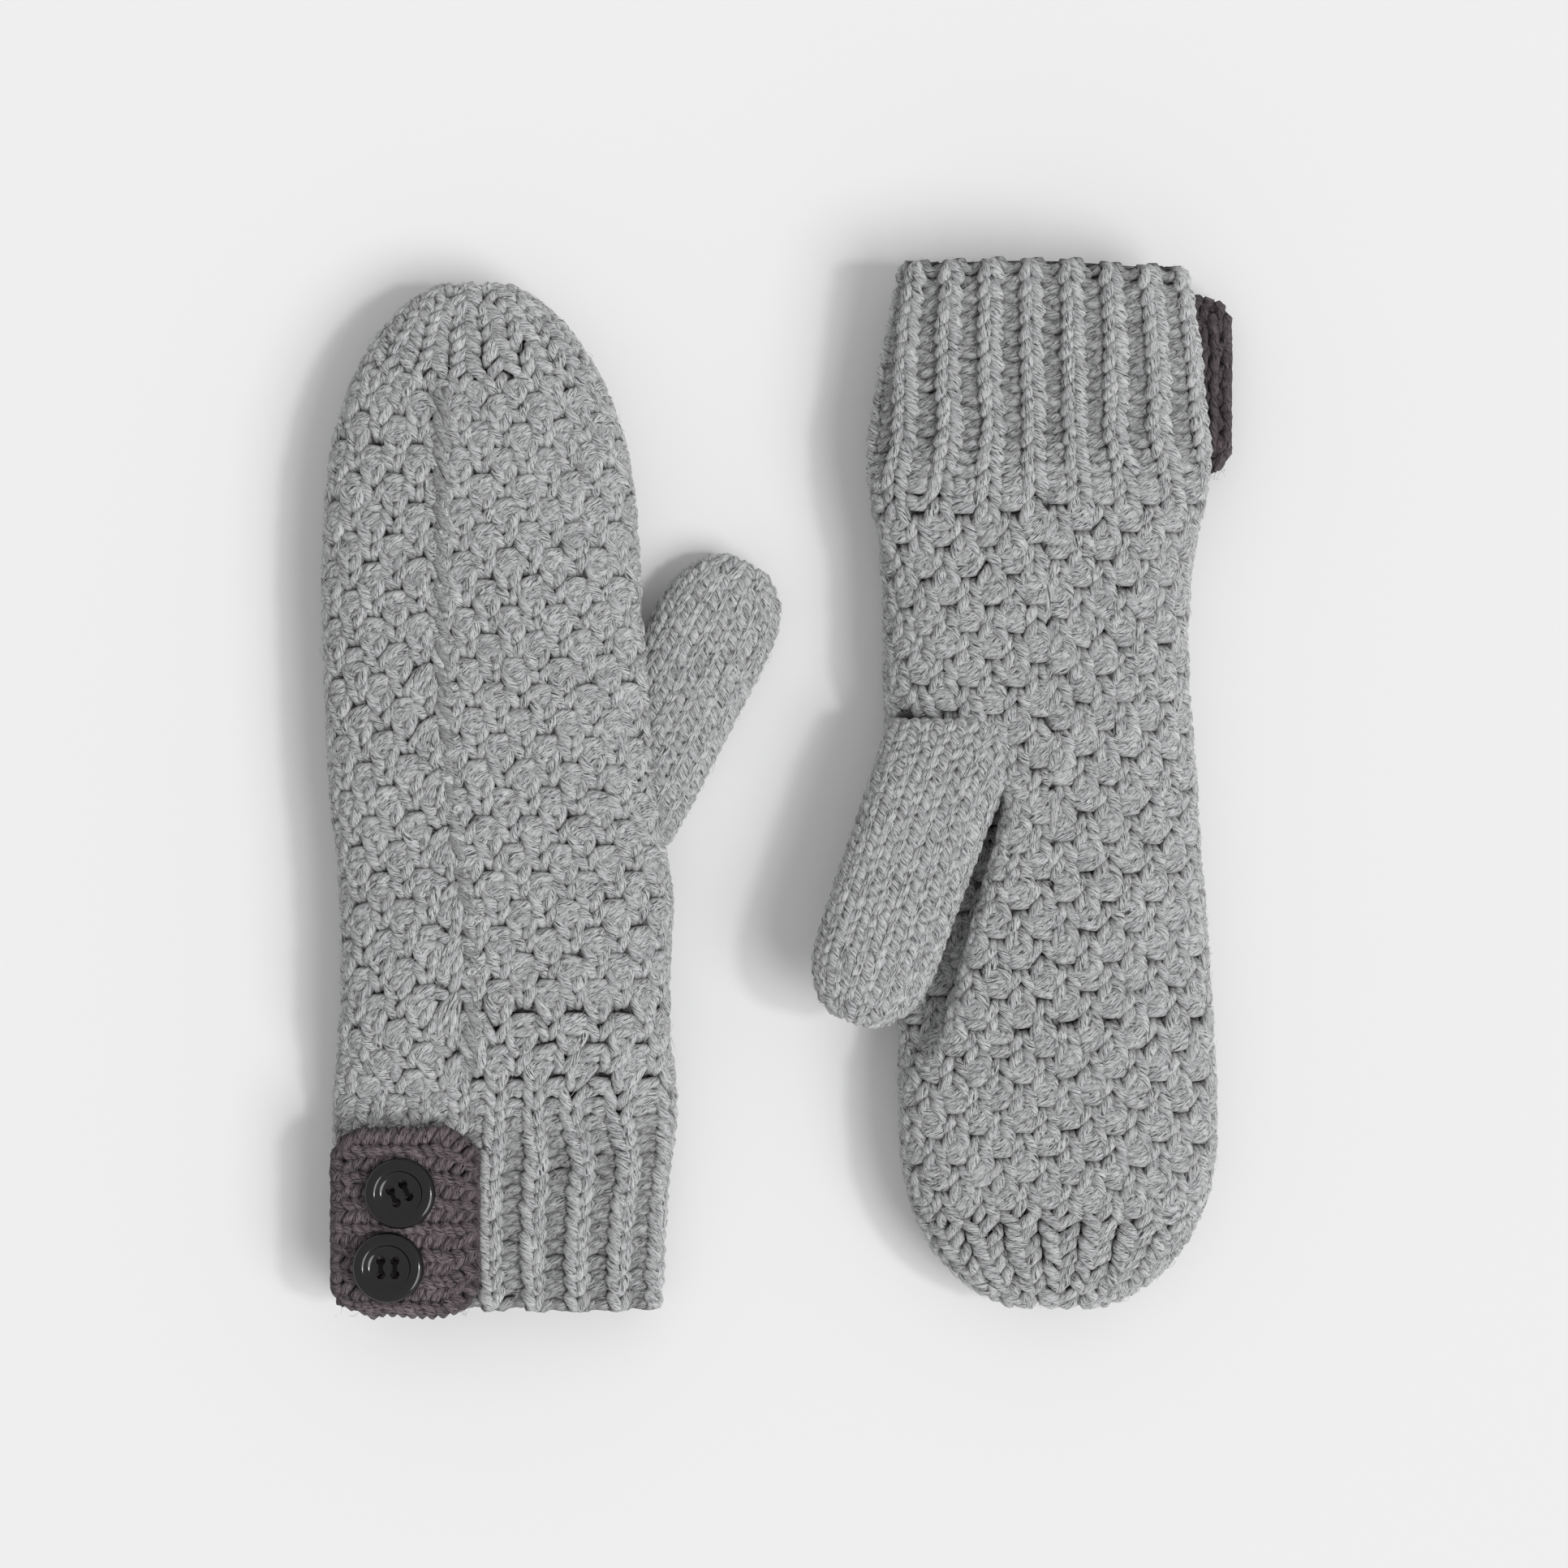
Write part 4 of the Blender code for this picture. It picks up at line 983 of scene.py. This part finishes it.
def add_button(mitten, which, turn):
    node = f"{mitten.name}_{which}_button"
    low, high = (mitten.inward(np.array(p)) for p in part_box(node))
    low, high = np.minimum(low, high), np.maximum(low, high)
    centre = (low + high) / 2
    tall = (high[2] - low[2]) / (4.4 * mm)

    def turned(shape):
        path = [shape.verts.new((r * mm, 0, z * mm * tall)) for r, z in BUTTON_PROFILE]
        edges = [shape.edges.new(pair) for pair in zip(path, path[1:])]
        bmesh.ops.spin(shape, geom=path + edges, axis=(0, 0, 1), steps=96, angle=math.tau, use_merge=True)
        bmesh.ops.remove_doubles(shape, verts=shape.verts, dist=0.00001)
        bmesh.ops.recalc_face_normals(shape, faces=shape.faces)

    def holes(shape):
        for x in (-0.5, 0.5):
            for y in (-0.5, 0.5):
                place = Matrix.Translation((x * HOLE_PITCH, y * HOLE_PITCH, 0))
                bmesh.ops.create_cone(shape, cap_ends=True, segments=28, radius1=HOLE_RADIUS,
                                      radius2=HOLE_RADIUS, depth=20 * mm, matrix=place)

    body = bpy.data.objects.new("turned", in_mesh("turned", turned))
    drill = bpy.data.objects.new("drill", in_mesh("drill", holes))
    for made in (body, drill):
        scene.collection.objects.link(made)
    drilled = body.modifiers.new("holes", "BOOLEAN")
    drilled.object = drill
    drilled.solver = "EXACT"
    softened = body.modifiers.new("edges", "BEVEL")
    softened.width = 0.18 * mm
    softened.segments = 2
    softened.angle_limit = math.radians(50)
    mesh = bpy.data.meshes.new_from_object(body.evaluated_get(bpy.context.evaluated_depsgraph_get()))
    for made in (body, drill):
        bpy.data.objects.remove(made)
    flip = Matrix.Identity(3) if mitten.facing > 0 else Matrix.Rotation(math.pi, 3, "X")
    place = Matrix.Translation(mitten.outward((centre[0], centre[1], low[2])))
    mesh.transform(place @ flip.to_4x4() @ Matrix.Rotation(turn, 4, "Z"))
    mesh.name = f"{node}_turned"
    mesh.shade_smooth()
    mesh.set_sharp_from_angle(angle=math.radians(38))
    piece = placed(mesh)
    finished(piece, plastic, [node])
    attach(piece, node)
    add_thread(mitten, which, centre, low[2], tall, turn)


def add_thread(mitten, which, centre, base, tall, turn):
    rng = np.random.default_rng(71)
    well = base + WELL_LEVEL * mm * tall
    turned = np.array([[math.cos(turn), -math.sin(turn)], [math.sin(turn), math.cos(turn)]])
    lines = []
    for x in (-0.5, 0.5):
        for strand in range(2):
            aside = (strand - 0.5) * 0.5 * mm
            steps = np.linspace(-1, 1, 21)
            y = steps * HOLE_PITCH * 0.52
            rise = 0.45 * mm * (1 - steps**4) - 2.8 * mm * np.abs(steps) ** 8
            flat = np.column_stack([np.full(21, x * HOLE_PITCH + aside), y]) @ turned.T
            lines.append(np.column_stack([centre[0] + flat[:, 0], centre[1] + flat[:, 1], well + rise]))
    wound = np.linspace(0, 1, 160)
    angle = wound * math.tau * 6.5
    radius = (2.3 + 0.25 * np.sin(wound * math.pi)) * mm
    for lift, level in ((1, base - 0.2 * mm), (-1, base - 2.4 * mm)):
        z = level + (wound - 1) * 2.0 * mm * (lift == 1) + (wound - 1) * 0.9 * mm * (lift == -1)
        around = np.column_stack([np.cos(angle) * radius, np.sin(angle) * radius * 0.9])
        lines.append(np.column_stack([centre[0] + around[:, 0], centre[1] + around[:, 1], z]))
    name = f"{mitten.name}_{which}_button_thread"
    piece = strand_mesh(f"{name}_strands", mitten, lines, 0.27 * mm, rng, closed=False)
    finished(piece, sewing, [name])
    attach(piece, f"{mitten.name}_{which}_button")


for mitten in (left, right):
    add_button(mitten, "upper", math.radians(27))
    add_button(mitten, "lower", 0.0)


# ----------------------------------------------------------------------------------------------------------
# The bloom on the wool: loose fibre ends that stand off the strands and blur their outlines.

def loose_wool(name, dark, pale):
    """Loose fibres, some dark and some pale."""
    made, paint = new_material(name)
    clouds = paint.noise(paint.node("ShaderNodeTexCoord", output=3), 700.0, 2.0)
    colour = clouds.ramp(0.38, 0.62).mix(dark, pale)
    finish_material(paint, Base_Color=colour, Roughness=0.9, Specular_IOR_Level=0.2)
    return made


bloom = loose_wool("wool_fibres", (0.16, 0.16, 0.165, 1), (0.70, 0.70, 0.705, 1))
dark_bloom = loose_wool("charcoal_fibres", (0.02, 0.018, 0.019, 1), (0.26, 0.22, 0.235, 1))
FIBRE_POINTS = 5
FIBRE_LENGTH = (2.0 * mm, 5.0 * mm)


def fibres(name, mitten, skin, low, high, count, height, rng):
    """Short curling fibres on a skin, as ribbons thinner than a strand's own hairs."""
    curve = bpy.data.curves.new(name, "CURVE")
    curve.dimensions = "3D"
    curve.extrude = 0.032 * mm
    steps = np.linspace(0, 1, FIBRE_POINTS)
    across, up = rng.random(count), low + rng.random(count) * (high - low)
    way = rng.random(count) * math.tau
    length = rng.uniform(*FIBRE_LENGTH, count)
    bow = rng.normal(0, 0.5, count)
    girth = np.linalg.norm(np.diff(skin.points[len(skin.points) // 3], axis=0), axis=1).sum()
    pitch = np.linalg.norm(skin.points[-9] - skin.points[-5], axis=1).mean()
    turned = way[:, None] + bow[:, None] * steps * 2
    x = np.cumsum(np.cos(turned), axis=1) * length[:, None] / FIBRE_POINTS
    y = np.cumsum(np.sin(turned), axis=1) * length[:, None] / FIBRE_POINTS
    rise = rng.uniform(0.5, 1.6, count)[:, None] * mm + height
    hump = rng.uniform(0.2, 1.1, count)[:, None] * mm
    arch = rise + hump * np.sin(steps * rng.uniform(1.6, 3.2, count)[:, None])
    points = skin.read((across[:, None] + x / girth).ravel(), (up[:, None] + y / pitch).ravel(), arch.ravel())
    world_points = mitten.outward(points).reshape(count, FIBRE_POINTS, 3)
    for line, tilt in zip(world_points, rng.random(count) * math.pi):
        spline = curve.splines.new("POLY")
        spline.points.add(FIBRE_POINTS - 1)
        spline.points.foreach_set("co", np.column_stack([line, np.ones(FIBRE_POINTS)]).ravel())
        spline.points.foreach_set("tilt", np.full(FIBRE_POINTS, tilt))
    return placed(mesh_of_curve(curve))


for mitten in (left, right):
    rng = np.random.default_rng(81 if mitten is left else 82)
    name, skin, thumb = mitten.name, mitten.skin, mitten.thumb_skin
    down = fibres(f"{name}_cuff_fibres", mitten, skin, skin.first + 0.6, SHADE_SHEET_JOIN, 4600, 1.1 * mm, rng)
    up = fibres(f"{name}_hand_fibres", mitten, skin, SHADE_SHEET_JOIN, skin.last - 0.5, 5200, 1.1 * mm, rng)
    short = fibres(f"{name}_thumb_fibres", mitten, thumb, 1, thumb.last - 0.5, 1500, 1.1 * mm, rng)
    last = STRAP_COURSES - 0.4
    strap = fibres(f"{name}_strap_fibres", mitten, mitten.strap_skin, 0.4, last, 700, -0.6 * mm, rng)
    for piece in (down, up, short):
        finished(piece, bloom)
    finished(strap, dark_bloom)
    bend_at_wrist(down)
    bend_at_knuckles(up)
    bend_at_thumb(short, mitten)
    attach(strap, f"{name}_cuff")


# ----------------------------------------------------------------------------------------------------------
# The table and the light.
# A pale table, one broad soft light from the lower right with a small glint, and an even light all round.

table = bmesh.new()
bmesh.ops.create_grid(table, x_segments=1, y_segments=1, size=3.0)
table_mesh = bpy.data.meshes.new("table")
table.to_mesh(table_mesh)
table.free()
table_top = bpy.data.objects.new("table", table_mesh)
scene.collection.objects.link(table_top)
table_paint_material, table_paint = new_material("pale_table")
finish_material(table_paint, Base_Color=(0.88, 0.88, 0.88, 1), Roughness=0.9)
table_mesh.materials.append(table_paint_material)


def add_light(name, energy, spread, towards):
    """A far light, softened by its spread in degrees, that shines from a direction."""
    light = bpy.data.lights.new(name, "SUN")
    light.energy = energy
    light.angle = math.radians(spread)
    holder = bpy.data.objects.new(name, light)
    holder.rotation_euler = Vector(towards).to_track_quat("Z", "Y").to_euler()
    scene.collection.objects.link(holder)


add_light("key_light", 1.42, 34, (0.75, -0.42, 0.95))
add_light("glint_light", 0.5, 7, (0.80, -0.10, 1.0))

world = bpy.data.worlds.new("studio")
scene.world = world
world.use_nodes = True
world.node_tree.nodes["Background"].inputs["Color"].default_value = (1, 1, 1, 1)
world.node_tree.nodes["Background"].inputs["Strength"].default_value = 0.525
scene.view_settings.view_transform = "Standard"


# ----------------------------------------------------------------------------------------------------------
# The camera looks straight down on the pair.

camera = bpy.data.cameras.new("camera")
camera.lens = 100
camera.sensor_width = 36
view_width = 0.400
camera_object = bpy.data.objects.new("camera", camera)
camera_object.location = (0.0017, 0.0004, view_width * camera.lens / camera.sensor_width + 0.010)
scene.collection.objects.link(camera_object)
scene.camera = camera_object
